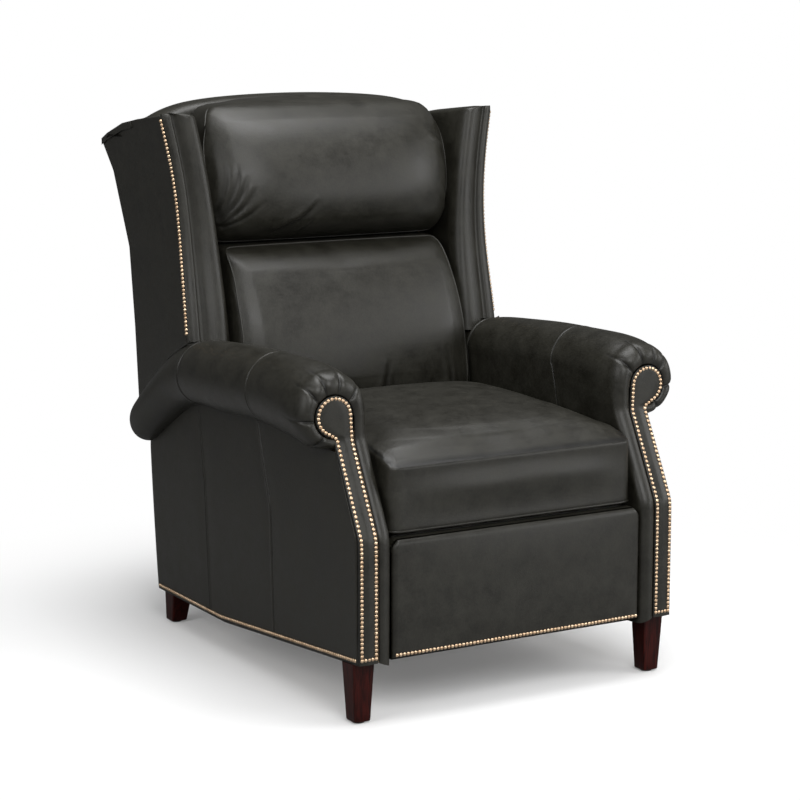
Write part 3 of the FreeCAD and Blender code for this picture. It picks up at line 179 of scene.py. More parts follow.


# The leather: one semi-gloss charcoal hide covers every padded piece, so its grain is a group of nodes. The group
# gives a tone mask, a roughness and a height; the shade in seams, pleats and folds is painted from marks.

def make_hide():
    """Pebbled grain and fine creases as a height, and slow mottling as a tone and a roughness."""
    group = bpy.data.node_groups.new("hide_grain", "ShaderNodeTree")
    for label, usual in (("Pebble Scale", 620.0), ("Crease Scale", 95.0), ("Low Roughness", 0.36),
                         ("High Roughness", 0.5)):
        group.interface.new_socket(label, in_out="INPUT", socket_type="NodeSocketFloat").default_value = usual
    for label in ("Tone", "Roughness", "Height"):
        group.interface.new_socket(label, in_out="OUTPUT", socket_type="NodeSocketFloat")
    given = group.nodes.new("NodeGroupInput").outputs
    result = group.nodes.new("NodeGroupOutput")
    here = add(group, "ShaderNodeTexCoord").outputs["Object"]
    pebble = add(group, "ShaderNodeTexVoronoi", {"Vector": here, "Scale": given["Pebble Scale"]},
                 feature="SMOOTH_F1", Randomness=0.9)
    crease = add(group, "ShaderNodeTexNoise", {"Vector": here, "Scale": given["Crease Scale"]},
                 Detail=5.0, Roughness=0.6, Distortion=1.2)
    cloud = add(group, "ShaderNodeTexNoise", {"Vector": here}, Scale=24.0, Detail=5.0, Roughness=0.7)
    fleck = add(group, "ShaderNodeTexNoise", {"Vector": here}, Scale=210.0, Detail=3.0)
    mix = add(group, "ShaderNodeMath", {0: cloud.outputs["Fac"]}, operation="MULTIPLY")
    mix.inputs[1].default_value = 0.7
    both = add(group, "ShaderNodeMath", {0: fleck.outputs["Fac"], 2: mix.outputs[0]}, operation="MULTIPLY_ADD")
    both.inputs[1].default_value = 0.3
    spread = add(group, "ShaderNodeMapRange", {"Value": both.outputs[0]}, From_Min=0.36, From_Max=0.64)
    rough = add(group, "ShaderNodeMapRange", {"Value": both.outputs[0], "To Min": given["Low Roughness"],
                                              "To Max": given["High Roughness"]}, From_Min=0.36, From_Max=0.64)
    small = add(group, "ShaderNodeMath", {0: pebble.outputs["Distance"]}, operation="MULTIPLY")
    small.inputs[1].default_value = 0.5
    height = add(group, "ShaderNodeMath", {0: crease.outputs["Fac"], 2: small.outputs[0]}, operation="MULTIPLY_ADD")
    height.inputs[1].default_value = 0.6
    group.links.new(spread.outputs[0], result.inputs["Tone"])
    group.links.new(rough.outputs[0], result.inputs["Roughness"])
    group.links.new(height.outputs[0], result.inputs["Height"])
    return group


hide_grain = make_hide()


def leather(name, dark, pale, low_gloss, high_gloss):
    """Leather in a tone between dark and pale, with painted shade laid on near black where a seam, pleat or fold is
    marked.
    """
    material, tree, shader = new_material(name)
    hide = add(tree, "ShaderNodeGroup", node_tree=hide_grain)
    hide.inputs["Low Roughness"].default_value = low_gloss
    hide.inputs["High Roughness"].default_value = high_gloss
    tone = add(tree, "ShaderNodeMix", {"Factor": hide.outputs["Tone"]}, data_type="RGBA")
    tone.inputs[6].default_value = (*dark, 1)
    tone.inputs[7].default_value = (*pale, 1)
    # Painted shade: where a piece's crease mark is set, the colour blends towards near black in place of the shade
    # in seams, pleats and fold valleys.
    crease_shade = add(tree, "ShaderNodeAttribute", attribute_name="crease").outputs["Fac"]
    shade = add(tree, "ShaderNodeMix", {"Factor": crease_shade}, data_type="RGBA")
    tree.links.new(tone.outputs[2], shade.inputs[6])
    shade.inputs[7].default_value = (0.0012, 0.0012, 0.0011, 1)
    bump = add(tree, "ShaderNodeBump", {"Height": hide.outputs["Height"]}, Strength=0.22, Distance=0.0012)
    tree.links.new(shade.outputs[2], shader.inputs["Base Color"])
    tree.links.new(hide.outputs["Roughness"], shader.inputs["Roughness"])
    tree.links.new(bump.outputs[0], shader.inputs["Normal"])
    shader.inputs["Specular IOR Level"].default_value = 0.36
    return material


charcoal = leather("charcoal_leather", (0.0088, 0.0082, 0.0057), (0.0200, 0.0190, 0.0142), 0.36, 0.49)


# Arm covers: one hide runs from the crease under the roll, over it and down inside the arm.
# It is pleated round the nail-edged front, closed at the rear, and joined by two ring seams.

def face_line(z):
    """Front of the arm along Y: upright, leaning back over the knee, then upright again."""
    lean = 88 / 170
    knee, neck = z - 352, z - 522
    return -537 + lean * ((knee + np.sqrt(knee ** 2 + 64)) - (neck + np.sqrt(neck ** 2 + 16))) / 2


def side_x(y):
    """Outer side panel's place along X: it closes in towards the rear."""
    return 354 - 12 * (y + 537) / 913


roll_line = [(-443, 569), (-392, 580), (-300, 587), (-222, 589), (-149, 588), (-38, 583), (98, 575), (160, 560),
             (233, 524), (300, 484), (368, 443), (396, 428)]
roll_size = [(-443, 75), (-392, 75), (-222, 70), (-60, 68), (98, 64), (233, 60), (300, 57), (368, 51), (396, 47)]
ring_seams = (-222, 98)
pleats = np.radians([-97, -60, -10, 41, 70, 103, 141, 200])


def near(value, places, width):
    """One at each place and falling to nothing within a few widths of it."""
    return sum(np.exp(-((value - p) / width) ** 2) for p in places)


def arm_cover():
    """Across v the section is an arc of the roll from its outer crease to its inner side, then a
    straight drop to the hem. Along u it swells out of the front panel's rim over a rounded, pleated
    shoulder, follows the roll's line to the rear, and closes there."""
    arc = np.radians(np.linspace(-97, 180, 150))
    drop = np.linspace(0, 1, 70)[1:] ** 1.15
    turn = np.concatenate([arc, np.full(len(drop), np.pi)])
    fall = np.concatenate([np.zeros(len(arc)), drop])
    straight = np.clip(fall * 9, 0, 1)
    inner = np.radians(np.linspace(-80, 0, 10))
    outer = np.radians(np.linspace(0, 90, 20))[1:]
    reach = np.concatenate([0.34 * (1 + np.sin(inner) / np.sin(np.radians(80))), 0.34 + 0.66 * np.sin(outer)])
    sink = np.concatenate([5 * (1 - np.cos(inner)), 1 - np.cos(outer)])
    sunk_by = np.concatenate([np.ones(len(inner)), np.zeros(len(outer))])
    depth = 36 - 18 * straight
    shoulder_y = np.where(sunk_by[:, None] > 0, sink[:, None] + 0 * depth, sink[:, None] * depth) - 1
    run = np.concatenate([np.arange(-411, 368, 6.0), *[np.linspace(s - 7, s + 7, 15) for s in ring_seams]])
    run = np.unique(np.round(run, 2))
    cap = np.sin(np.linspace(0, np.pi / 2, 14))[1:]
    rear = 368 + 27 * cap
    shrink = np.sqrt(np.clip(1 - cap ** 2, 0, 1))
    body_y = np.concatenate([run, rear])
    shut = np.concatenate([np.ones(len(run)), shrink])

    centre_x = side_x(body_y)
    centre_z = curve(body_y, roll_line)
    size = curve(body_y, roll_size) * shut
    seam = near(body_y, ring_seams, 1.5)
    puff = 2.0 * np.sin(np.pi * np.clip((body_y - 98) / -320, 0, 1)) ** 0.7 + 0.7 * near(body_y, (-226.5, 102.5), 3)
    size = size + np.where(shut == 1, puff - 2.6 * seam, 0)

    between = np.zeros(len(turn))
    for a, b in zip(pleats, pleats[1:]):
        t = (turn - a) / (b - a)
        between += np.where((t >= 0) & (t < 1), 4 * t * (1 - t), 0)
    fold = near(turn, pleats[1:-1], np.radians(2.0)) * (1 - straight)
    wide = near(turn, pleats[1:-1], np.radians(6.0)) * (1 - straight)
    fade = np.exp(-np.clip(body_y + 411, 0, None) / 16)[:, None]
    body_r = size[:, None] - 2.2 * fade * between - 1.6 * fade * fold
    body_x = centre_x[:, None] + body_r * np.cos(turn)
    body_z = centre_z[:, None] + body_r * np.sin(turn)
    hem = line(body_y, hem_line)[:, None]
    wall = 284 - 1.5 * np.sin(np.pi * fall)
    settle = np.minimum(1, fall * 3.2)
    settle = settle ** 2 * (3 - 2 * settle)
    body_x = np.where(fall > 0, body_x + (wall - body_x) * settle, body_x)
    body_z = np.where(fall > 0, body_z + (hem - body_z) * fall, body_z)
    front = face_line(body_z) + depth - 1
    share = (body_y[:, None] + 411) / (368 + 411)
    rear_end = 366
    straight_y = front + share * (rear_end - front)
    weight = np.clip(fall * 60, 0, 1)
    body_y_grid = body_y[:, None] + weight * (np.minimum(straight_y, rear_end) - body_y[:, None])

    head_x, head_z, head_r, strip_foot = 354, 568, 40.5, 120
    rim_x = np.where(fall > 0, 311.5, head_x + head_r * np.cos(turn))
    rim_z = np.where(fall > 0, head_z + (strip_foot - head_z) * fall, head_z + head_r * np.sin(turn))
    puffed = reach[:, None] * (1 - 0.35 * np.exp(-((reach[:, None] - 0.6) / 0.35) ** 2) * wide * 0.25)
    shoulder_x = rim_x + puffed * (body_x[0] - rim_x)
    shoulder_z = rim_z + puffed * (body_z[0] - rim_z)
    bulge = 1.6 * np.sin(np.pi * reach)[:, None] * (between - 0.4) * (1 - straight)
    groove = (3.4 * fold + 2.2 * wide) * np.sin(np.pi * np.clip(reach * 0.9 + 0.06, 0, 1))[:, None] ** 0.6
    leaned = face_line(np.where(fall > 0, shoulder_z, head_z)) + shoulder_y - bulge + groove

    points = np.concatenate([np.stack([shoulder_x, leaned, shoulder_z], -1)[:-1],
                             np.stack([body_x, body_y_grid, body_z], -1)])
    # Painted shade, carried to the leather as its crease mark: near black in the pleat grooves, at the rim against
    # the front panel, and in the two ring seams.
    front_shade = np.clip(fold * np.sin(np.pi * np.clip(reach, 0.05, 1))[:, None] * 0.9
                         + 0.8 * np.exp(-reach[:, None] / 0.06), 0, 1)
    body_shade = np.clip(0.95 * near(body_y, ring_seams, 1.3)[:, None] + 0.7 * fade * fold, 0, 1) + 0 * turn
    return points, np.concatenate([front_shade[:-1], body_shade])


cover, cover_shade = arm_cover()
for side, sign in (("left", 1), ("right", -1)):
    arm = skin("arm_cover_" + side, cover * (sign, 1, 1), (sign * 340, 0, 450), {"crease": cover_shade})
    fit(arm, charcoal, "leather", "base", "arm_roll_" + side, "arm_inside_" + side)


# Arm side panels: leather over a padded board, from the crease under the roll to the nailed hem.
# Two upright seams join three hides, and every edge turns in round the board.

def side_panel():
    """u runs from the front line to the rear line and v from the hem to the crease. The surface
    puffs between the seams, sinks at them, and turns in with a quarter round at all four edges."""
    edge = np.radians(np.linspace(0, 90, 7))
    wrap_in = np.concatenate([[14], 4 * (1 - np.sin(edge))[:-1]])
    seam_places = 0.3786, 0.7085
    beside = 0.0011 * np.arange(-7, 8)
    u = np.unique(np.round(np.concatenate([np.linspace(0, 1, 150), *[s + beside for s in seam_places]]), 5))
    v = np.linspace(0, 1, 60)
    u_all = np.concatenate([np.zeros(len(wrap_in)), u, np.ones(len(wrap_in))])
    u_in = np.concatenate([wrap_in, np.zeros(len(u)), wrap_in[::-1]])
    v_all = np.concatenate([np.zeros(len(wrap_in)), v])
    v_in = np.concatenate([wrap_in, np.zeros(len(v))])
    across, up = np.meshgrid(u_all, v_all, indexing="ij")
    long = 907
    nominal = -531 + across * long
    hem = line(nominal, hem_line)
    top = curve(np.clip(nominal, -443, 396), roll_line) - curve(np.clip(nominal, -443, 396), roll_size) + 9
    top = np.where(nominal < -443, 503, top)
    z = hem + up * (top - hem)
    front = face_line(z) + 6.5
    back = line(z, [(72, 347), (378, 376), (600, 376)])
    y = front + across * (back - front)
    seams = [(across - s) * long for s in seam_places]
    sunk = sum(np.exp(-(s / 1.4) ** 2) for s in seams)
    lip = np.exp(-((seams[0] - 4.2) / 2.5) ** 2) + np.exp(-((seams[1] + 4.2) / 2.5) ** 2)
    puff = 1.6 * np.sin(np.pi * up) ** 0.5 * (1 - 0.6 * sum(np.exp(-(s / 26) ** 2) for s in seams))
    x = side_x(y) + puff - 2.2 * sunk + 0.7 * lip
    x = x - np.maximum(u_in[:, None], v_in[None, :])
    # The second result is painted shade in the sunk seams.
    return np.stack([x, y, z], -1), np.clip(sunk, 0, 1) * 0.95


panel, panel_shade = side_panel()
for side, sign in (("left", 1), ("right", -1)):
    flank = skin("arm_side_" + side, panel * (sign, 1, 1), (0, 0, 350), {"crease": panel_shade})
    fit(flank, charcoal, "leather", "base", "arm_outside_" + side)


# Arm fronts: a padded strip with a round head, bent over the knee of the arm post.
# It is edged with brass nails that run up one side, round the head and down the other.

def front_panel():
    """Rows run between a left and a right point of the outline: up the strip, then as chords of the
    round head. Columns are insets from both rims, which round over, and the middle is crowned."""
    inner_x, head_x, head_z, head_r = 313, 354, 568, 39
    low = np.linspace(120, 529, 120)
    head = np.linspace(0, 1, 46)[1:]
    left_turn = np.pi - (np.pi / 2) * np.clip((head - 0.3) / 0.7, 0, 1)
    right_turn = -np.pi / 2 + np.pi * head
    left_x = np.where(head < 0.3, inner_x + 2 * head / 0.3, head_x + head_r * np.cos(left_turn))
    left_z = np.where(head < 0.3, low[-1] + head_r * head / 0.3, head_z + head_r * np.sin(left_turn))
    left = np.concatenate([np.stack([0 * low + inner_x, low], -1), np.stack([left_x, left_z], -1)])
    right_x, right_z = head_x + head_r * np.cos(right_turn), head_z + head_r * np.sin(right_turn)
    right = np.concatenate([np.stack([0 * low + head_x, low], -1), np.stack([right_x, right_z], -1)])
    rim = [(0, 6), (0, 3), (0.25, 1.8), (0.9, 0.8), (1.9, 0.2), (3, 0)]
    inset = np.array([r[0] for r in rim])
    back = np.array([r[1] for r in rim])
    chord = right - left
    length = np.linalg.norm(chord, axis=1)[:, None]
    along = chord / np.maximum(length, 1e-6)
    middle = np.linspace(0, 1, 16)[1:-1]
    inset_l = np.minimum(inset, length / 2)
    from_left = np.concatenate([inset_l, inset_l[:, -1:] + middle * (length - 2 * inset_l[:, -1:]),
                                length - inset_l[:, ::-1]], axis=1)
    depth = np.concatenate([back, 0 * middle, back[::-1]]) + 0 * from_left
    gap = np.minimum(from_left, length - from_left)
    crown = 1.8 * np.clip((gap - 8) / 12, 0, 1) ** 0.8
    x = left[:, :1] + along[:, :1] * from_left
    z = left[:, 1:] + along[:, 1:] * from_left
    y = face_line(z) + depth - crown
    # The second result is painted shade along the rims, where the panel turns back.
    return np.stack([x, y, z], -1), np.exp(-gap / 0.8) * 0.8


face, face_shade = front_panel()
for side, sign in (("left", 1), ("right", -1)):
    pad = skin("arm_front_" + side, face * (sign, 1, 1), (sign * 335, 0, 350), {"crease": face_shade})
    fit(pad, charcoal, "leather", "base", "arm_facing_" + side)

brass, tree, shader = new_material("antique_brass")
place = add(tree, "ShaderNodeTexCoord").outputs["Object"]
tarnish = add(tree, "ShaderNodeTexNoise", {"Vector": place}, Scale=160.0, Detail=3.0)
tint = add(tree, "ShaderNodeValToRGB", {"Fac": tarnish.outputs["Fac"]})
tint.color_ramp.elements[0].position = 0.3
tint.color_ramp.elements[0].color = (0.50, 0.33, 0.20, 1)
tint.color_ramp.elements[1].position = 0.68
tint.color_ramp.elements[1].color = (0.86, 0.66, 0.46, 1)
dull = add(tree, "ShaderNodeMapRange", {"Value": tarnish.outputs["Fac"]}, To_Min=0.42, To_Max=0.26)
tree.links.new(tint.outputs[0], shader.inputs["Base Color"])
tree.links.new(dull.outputs[0], shader.inputs["Roughness"])
shader.inputs["Metallic"].default_value = 1.0


def evenly(path, pitch):
    """Points at an even pitch along a run of straight stretches."""
    path = np.array(path, float)
    along = np.concatenate([[0], np.cumsum(np.linalg.norm(np.diff(path, axis=0), axis=1))])
    count = int(round(along[-1] / pitch))
    at = np.linspace(0, along[-1], count + 1)
    return np.stack([np.interp(at, along, path[:, k]) for k in range(3)], -1)


def mirrored(places):
    """The places or directions on the left side, followed by those on the right side."""
    return np.concatenate([places, places * (-1, 1, 1)])


def face_outwards(mesh):
    """Recalculate the normals of a mesh made of closed shells."""
    work = bmesh.new()
    work.from_mesh(mesh)
    bmesh.ops.recalc_face_normals(work, faces=work.faces)
    work.to_mesh(mesh)
    work.free()


def nails(name, spots, outward):
    """Domed heads: rings of a low dome round each spot, over a short turned-in rim. Each ring is the
    spot plus a radius across the outward direction and a height along it."""
    outward = outward / np.linalg.norm(outward, axis=1)[:, None]
    side = np.cross(outward, (0.31, 0.2, 0.93))
    side = side / np.linalg.norm(side, axis=1)[:, None]
    other = np.cross(outward, side)
    radius = np.array([3.5, 3.85, 3.3, 2.0])
    height = np.array([-0.3, 0.25, 1.45, 2.2])
    sides = 8
    turn = np.arange(sides) * 2 * np.pi / sides
    ring = side[:, None, None] * np.cos(turn)[:, None] + other[:, None, None] * np.sin(turn)[:, None]
    points = spots[:, None, None] + ring * radius[:, None, None] + outward[:, None, None] * height[:, None, None]
    tip = spots + outward * 2.5
    verts = np.concatenate([points.reshape(len(spots), -1, 3), tip[:, None]], axis=1)
    k = np.arange(sides)
    n = (k + 1) % sides
    band = np.stack([k, n, sides + n, sides + k], -1)
    crown = np.stack([3 * sides + k, 3 * sides + n, 0 * k + 4 * sides, 0 * k + 4 * sides], -1)
    head = np.concatenate([band, band + sides, band + 2 * sides, crown])
    quads = (head[None] + (np.arange(len(spots)) * (4 * sides + 1))[:, None, None]).reshape(-1, 4)
    mesh = bpy.data.meshes.new(name)
    mesh.from_pydata((verts.reshape(-1, 3) / 1000).tolist(), [],
                     [q[:3] if q[2] == q[3] else q for q in quads.tolist()])
    mesh.shade_smooth()
    piece = bpy.data.objects.new(name, mesh)
    bpy.context.scene.collection.objects.link(piece)
    face_outwards(mesh)
    return piece


def face_tilt(z):
    """Outward direction of the arm's front at a height."""
    slope = (face_line(z + 1) - face_line(z - 1)) / 2
    return np.stack([0 * z, -np.ones(len(z)), slope], -1)


nail_pitch, low_row = 8, 129.5
loop = [(318.5, 0, low_row), (318.5, 0, 522)]
loop += [(354 + 33.5 * np.cos(a), 0, 568 + 33.5 * np.sin(a)) for a in np.radians(np.arange(180, -76, -10))]
loop += [(348.5, 0, 526), (348.5, 0, low_row)]
spots = evenly(loop, nail_pitch)
base_row = evenly([spots[0], spots[-1]], nail_pitch)[1:-1]
spots = np.concatenate([spots, base_row])
spots[:, 1] = face_line(spots[:, 2])
tilt = face_tilt(spots[:, 2])
fit(nails("front_nail_heads", mirrored(spots), mirrored(tilt)), brass, "nails", "base", "arm_front_nails")

hem_path = [(0, y, line(y, hem_line) + 8.5) for y in (-523, 40, 339)]
spots = evenly(hem_path, nail_pitch)
spots[:, 0] = side_x(spots[:, 1]) + 0.9
tilt = np.tile((1.0, 0.013, 0.0), (len(spots), 1))
fit(nails("hem_nail_heads", mirrored(spots), mirrored(tilt)), brass, "nails", "base", "side_hem_nails")


# Rear apron: a leather-covered board closes the base behind, between the two side panels.
# It leans with the rear line of the arms and turns in at its edges.

def both_ends(rim, count):
    """A rim's depths at both ends of a row, with count zeros between them."""
    return np.concatenate([rim, np.zeros(count), rim[::-1]])


def turned_in(rows, columns):
    """How far a panel's rim is turned in at each point of its grid: three steps at all four edges."""
    rim = [8, 2, 0.6]
    return np.maximum(both_ends(rim, rows)[:, None], both_ends(rim, columns)[None, :])


def rear_panel():
    """x across and z up, on the leaning plane, puffed in the middle and turned in at the edges."""
    a = np.concatenate([[-1, -1, -0.998], np.linspace(-0.99, 0.99, 60), [0.998, 1, 1]])
    b = np.concatenate([[0, 0, 0.003], np.linspace(0.012, 0.988, 30), [0.997, 1, 1]])
    across, up = np.meshgrid(a, b, indexing="ij")
    half_width, foot, tall, lean = 333, 72, 306, 29
    y = 345 + up * lean + 2 * (1 - across ** 8) * (1 - (2 * up - 1) ** 8) - turned_in(60, 30)
    return np.stack([across * half_width, y, foot + up * tall], -1)


apron = skin("rear_apron_cover", rear_panel(), (0, 0, 225))
fit(apron, charcoal, "leather", "base", "rear_apron")


# Seat cushion: a thick box of foam under leather, with a domed top and a piped lower edge.
# It starts as its sewn shape, is inflated as cloth, and gets its seam and piping afterwards.

def box_cushion(outline, low, high, belly):
    """Round v runs the outline; along u the surface goes from the middle of the low panel out to its
    edge, up the side wall, and in over the high panel. low and high give the panels' heights."""
    flat = np.linspace(0, 0.93, 22)
    edge = np.array([0.955, 0.975, 0.99, 1.0])
    reach = np.concatenate([flat, edge, np.ones(10), edge[::-1], flat[::-1]])
    wall = np.concatenate([np.zeros(26), (np.arange(10) + 1) / 11, np.ones(26)])
    swell = belly * np.sin(np.pi * wall)
    centre = outline.mean(axis=0)
    ray = outline - centre
    size = np.linalg.norm(ray, axis=1)[:, None]
    plan = centre + ray[None] * reach[:, None, None] + (ray / size)[None] * swell[:, None, None]
    bottom, top = low(plan, reach[:, None]), high(plan, reach[:, None])
    return plan, bottom + (top - bottom) * wall[:, None]


def rounded(corners, count):
    """A closed outline through (a, b, radius) corners, as count points at an even pitch."""
    points = []
    for i, (a, b, radius) in enumerate(corners):
        here = np.array((a, b), float)
        back = np.array(corners[i - 1][:2]) - here
        ahead = np.array(corners[(i + 1) % len(corners)][:2]) - here
        back, ahead = back / np.linalg.norm(back), ahead / np.linalg.norm(ahead)
        half = np.arccos(np.clip(back @ ahead, -1, 1)) / 2
        start, end = here + back * radius / np.tan(half), here + ahead * radius / np.tan(half)
        t = np.linspace(0, 1, 9)[:, None]
        points.append((1 - t) ** 2 * start + 2 * t * (1 - t) * here + t ** 2 * end)
    path = np.concatenate(points + [points[0][:1]])
    path = np.concatenate([path, np.zeros((len(path), 1))], axis=1)
    along = np.linalg.norm(np.diff(path, axis=0), axis=1).sum()
    return evenly(path, along / (count - 1))[:, :2]


def inflate(piece, voxel, pressure, cap, rounds, hold):
    """Blow a sewn shape up as cloth for twenty frames. The move is capped, evened out over the
    neighbours of each point for some rounds, and held back where hold says a seam is."""
    remesh = piece.modifiers.new("Remesh", "REMESH")
    remesh.mode = "VOXEL"
    remesh.voxel_size = voxel
    evaluated = piece.evaluated_get(bpy.context.evaluated_depsgraph_get())
    mesh = bpy.data.meshes.new_from_object(evaluated)
    piece.modifiers.clear()
    piece.data = mesh
    count = len(mesh.vertices)
    before = np.zeros(count * 3)
    mesh.vertices.foreach_get("co", before)
    cloth = piece.modifiers.new("Cloth", "CLOTH")
    cloth.settings.quality = 5
    cloth.settings.use_pressure = True
    cloth.settings.uniform_pressure_force = pressure
    cloth.settings.tension_stiffness = 40
    cloth.settings.compression_stiffness = 40
    cloth.settings.bending_stiffness = 20
    cloth.settings.effector_weights.gravity = 0
    cloth.collision_settings.use_collision = False
    for k in range(1, 21):
        bpy.context.scene.frame_set(k)
    evaluated = piece.evaluated_get(bpy.context.evaluated_depsgraph_get())
    after = np.zeros(count * 3)
    evaluated.data.vertices.foreach_get("co", after)
    piece.modifiers.clear()
    bpy.context.scene.frame_set(1)
    before = before.reshape(-1, 3)
    move = after.reshape(-1, 3) - before
    size = np.linalg.norm(move, axis=1)[:, None]
    move = move * np.minimum(1, cap / np.maximum(size, 1e-9))
    pairs = np.zeros(len(mesh.edges) * 2, int)
    mesh.edges.foreach_get("vertices", pairs)
    one, two = pairs.reshape(-1, 2).T
    joined = np.bincount(pairs, minlength=count)[:, None]
    for _ in range(rounds):
        total = np.stack([np.bincount(one, move[two, k], count) + np.bincount(two, move[one, k], count)
                          for k in range(3)], -1)
        move = (move + total / joined) / 2
    move = move * hold(before * 1000)[:, None]
    mesh.vertices.foreach_set("co", (before + move).ravel())
    mesh.update()


def reshape(piece, change):
    """Move a piece's points by a rule that takes and gives them in millimetres, with their normals."""
    mesh = piece.data
    count = len(mesh.vertices)
    points, normals = np.zeros(count * 3), np.zeros(count * 3)
    mesh.vertices.foreach_get("co", points)
    mesh.vertex_normals.foreach_get("vector", normals)
    moved, dark = change(points.reshape(-1, 3) * 1000, normals.reshape(-1, 3))
    mesh.vertices.foreach_set("co", (moved / 1000).ravel())
    # The rule's second result becomes the crease mark: painted shade that the leather lays in seams and folds.
    mark = mesh.attributes.get("crease") or mesh.attributes.new("crease", "FLOAT", "POINT")
    mark.data.foreach_set("value", dark.astype(np.float32))
    mesh.update()
    mesh.shade_smooth()


def subdivide(piece):
    """One level of smooth subdivision, applied."""
    smooth = piece.modifiers.new("Smooth", "SUBSURF")
    smooth.levels = smooth.render_levels = 1
    evaluated = piece.evaluated_get(bpy.context.evaluated_depsgraph_get())
    mesh = bpy.data.meshes.new_from_object(evaluated)
    piece.modifiers.clear()
    piece.data = mesh


def fold(points, start, end, width, depth):
    """A crease seen from the front, from start to end in X and Z: a valley with a low ridge beside it, dying out
    towards its tip. The second result is the painted shade laid in its valley."""
    flat = points[:, (0, 2)]
    start, end = np.array(start, float), np.array(end, float)
    way = end - start
    long = np.linalg.norm(way)
    t = (flat - start) @ way / long ** 2
    side = (flat - start) @ np.array((-way[1], way[0])) / long + 0.06 * long * np.sin(np.pi * t)
    past = np.maximum(-t, t - 1).clip(0) * long
    strength = np.clip(1.05 - t, 0, 1) ** 0.7 * np.exp(-(past / width) ** 2)
    valley = np.exp(-(side / width) ** 2)
    ridge = np.exp(-((side - 1.9 * width) / (1.5 * width)) ** 2)
    return depth * strength * (0.8 * ridge - valley), strength * valley


def piping(name, piece, path, radius):
    """A round welt along a path, set onto the nearest point of the piece: rings of eight points
    across the path's direction."""
    tree = BVHTree.FromObject(piece, bpy.context.evaluated_depsgraph_get())
    path = np.array([tree.find_nearest(Vector(p / 1000))[0] for p in path]) * 1000
    ahead = np.roll(path, -1, axis=0) - np.roll(path, 1, axis=0)
    if np.linalg.norm(path[0] - path[-1]) > 5:
        ahead[0], ahead[-1] = path[1] - path[0], path[-1] - path[-2]
    else:
        path[-1] = path[0]
        ahead[0] = ahead[-1] = path[1] - path[-2]
    ahead = ahead / np.linalg.norm(ahead, axis=1)[:, None]
    first = np.cross(ahead, (0.3, 0.45, 0.84))
    first = first / np.linalg.norm(first, axis=1)[:, None]
    second = np.cross(ahead, first)
    turn = np.linspace(0, 2 * np.pi, 9)
    ring = first[:, None] * np.cos(turn)[:, None] + second[:, None] * np.sin(turn)[:, None]
    points = path[:, None] + ring * radius
    if np.linalg.norm(path[0] - path[-1]) > 5:
        points = np.concatenate([path[None, 0, None] + 0 * ring[:1], points, path[None, -1, None] + 0 * ring[:1]])
    welt = skin(name, points, path.mean(axis=0))
    face_outwards(welt.data)
    return welt


seat_plan = rounded([(-274, -512, 20), (274, -512, 20), (268, -220, 300), (270, 56, 26), (-270, 56, 26),
                     (-268, -220, 300)], 181)
seat_top = [(-516, 473), (-480, 487), (-430, 496), (-330, 507), (-200, 512), (-60, 508), (62, 494)]


def seat_low(plan, reach):
    """The underside lies level on the webbing."""
    return np.full(plan.shape[:2], 351.0)


def seat_high(plan, reach):
    """The top's line from front to back, plus a dome that dies out at the rim."""
    dome = 12 * (1 - (plan[..., 0] / 276) ** 2) * (1 - np.clip(reach, 0, 1) ** 6)
    return curve(plan[..., 1], seat_top) + dome


plan, level = box_cushion(seat_plan, seat_low, seat_high, 2.5)
seat = skin("seat_cushion_cover", np.concatenate([plan, level[..., None]], -1), (0, -230, 430))
low_edge = np.concatenate([seat_plan, np.full((len(seat_plan), 1), 352.6)], -1)


def seat_hold(points):
    """Nothing at the underside and the front seam, rising to one a hand's width away."""
    x, y, z = points.T
    seam = np.hypot(y + 512, z - curve(y, seat_top))
    return np.clip((z - 356) / 60, 0, 1) * np.clip(seam / 45, 0, 1)


inflate(seat, 0.006, 4.0, 0.022, 60, seat_hold)
subdivide(seat)


def sew_seat(points, normals):
    """Sink the panel seams, and keep the cushion off the arms, the webbing and the back."""
    x, y, z = points.T
    top = curve(y, seat_top)
    rim = np.maximum(np.abs(x) / 270, (y + 230) / -284)
    seam = np.exp(-((z - top - 0.5) / 2.4) ** 2) * np.clip((rim - 0.93) / 0.04, 0, 1)
    moved = points - normals * (1.8 * seam)[:, None]
    moved[:, 0] = np.clip(moved[:, 0], -281.5, 281.5)
    moved[:, 2] = np.clip(moved[:, 2], 350.4, None)
    moved[:, 1] = np.clip(moved[:, 1], -522, 62)
    # The second result is painted shade along the sunk seam round the top.
    return moved, np.clip(seam, 0, 1) * 0.85


reshape(seat, sew_seat)
fit(seat, charcoal, "leather", "seat", "seat_cushion")
fit(piping("seat_welt_low", seat, low_edge, 2.6), charcoal, "leather", "seat")


# Back cushion: foam under leather, piped round its front, and folded at its lower corners by use.
# It hangs on the back's webbing, whose plane leans by the same slope as the wings' padding.

slope = np.tan(np.radians(11.6))


def frame_plane(z):
    """Front of the back's webbing along Y at a height."""
    return 187 + slope * (z - 440) - 3.2


back_plan = rounded([(-268, 440, 24), (268, 440, 24), (272, 560, 200), (266, 700, 200), (258, 818, 16),
                     (-258, 818, 16), (-266, 700, 200), (-272, 560, 200)], 181)
back_front = [(436, 92), (470, 72), (540, 66), (620, 74), (700, 98), (760, 128), (800, 158), (820, 186)]
back_side = [(436, 100), (495, 68), (560, 72), (636, 83), (724, 116), (780, 150), (820, 191)]


def back_low(plan, reach):
    """The rear lies on the webbing's plane."""
    return -(frame_plane(plan[..., 1]) - 1.0)


def back_high(plan, reach):
    """The front goes over from the middle's line to the sides' line, and rounds in at the rim."""
    edge = np.clip(np.abs(plan[..., 0]) / 276, 0, 1) ** 4
    face = curve(plan[..., 1], back_front) * (1 - edge) + curve(plan[..., 1], back_side) * edge
    return -(face + 10 * np.clip((reach - 0.9) / 0.1, 0, 1) ** 2)


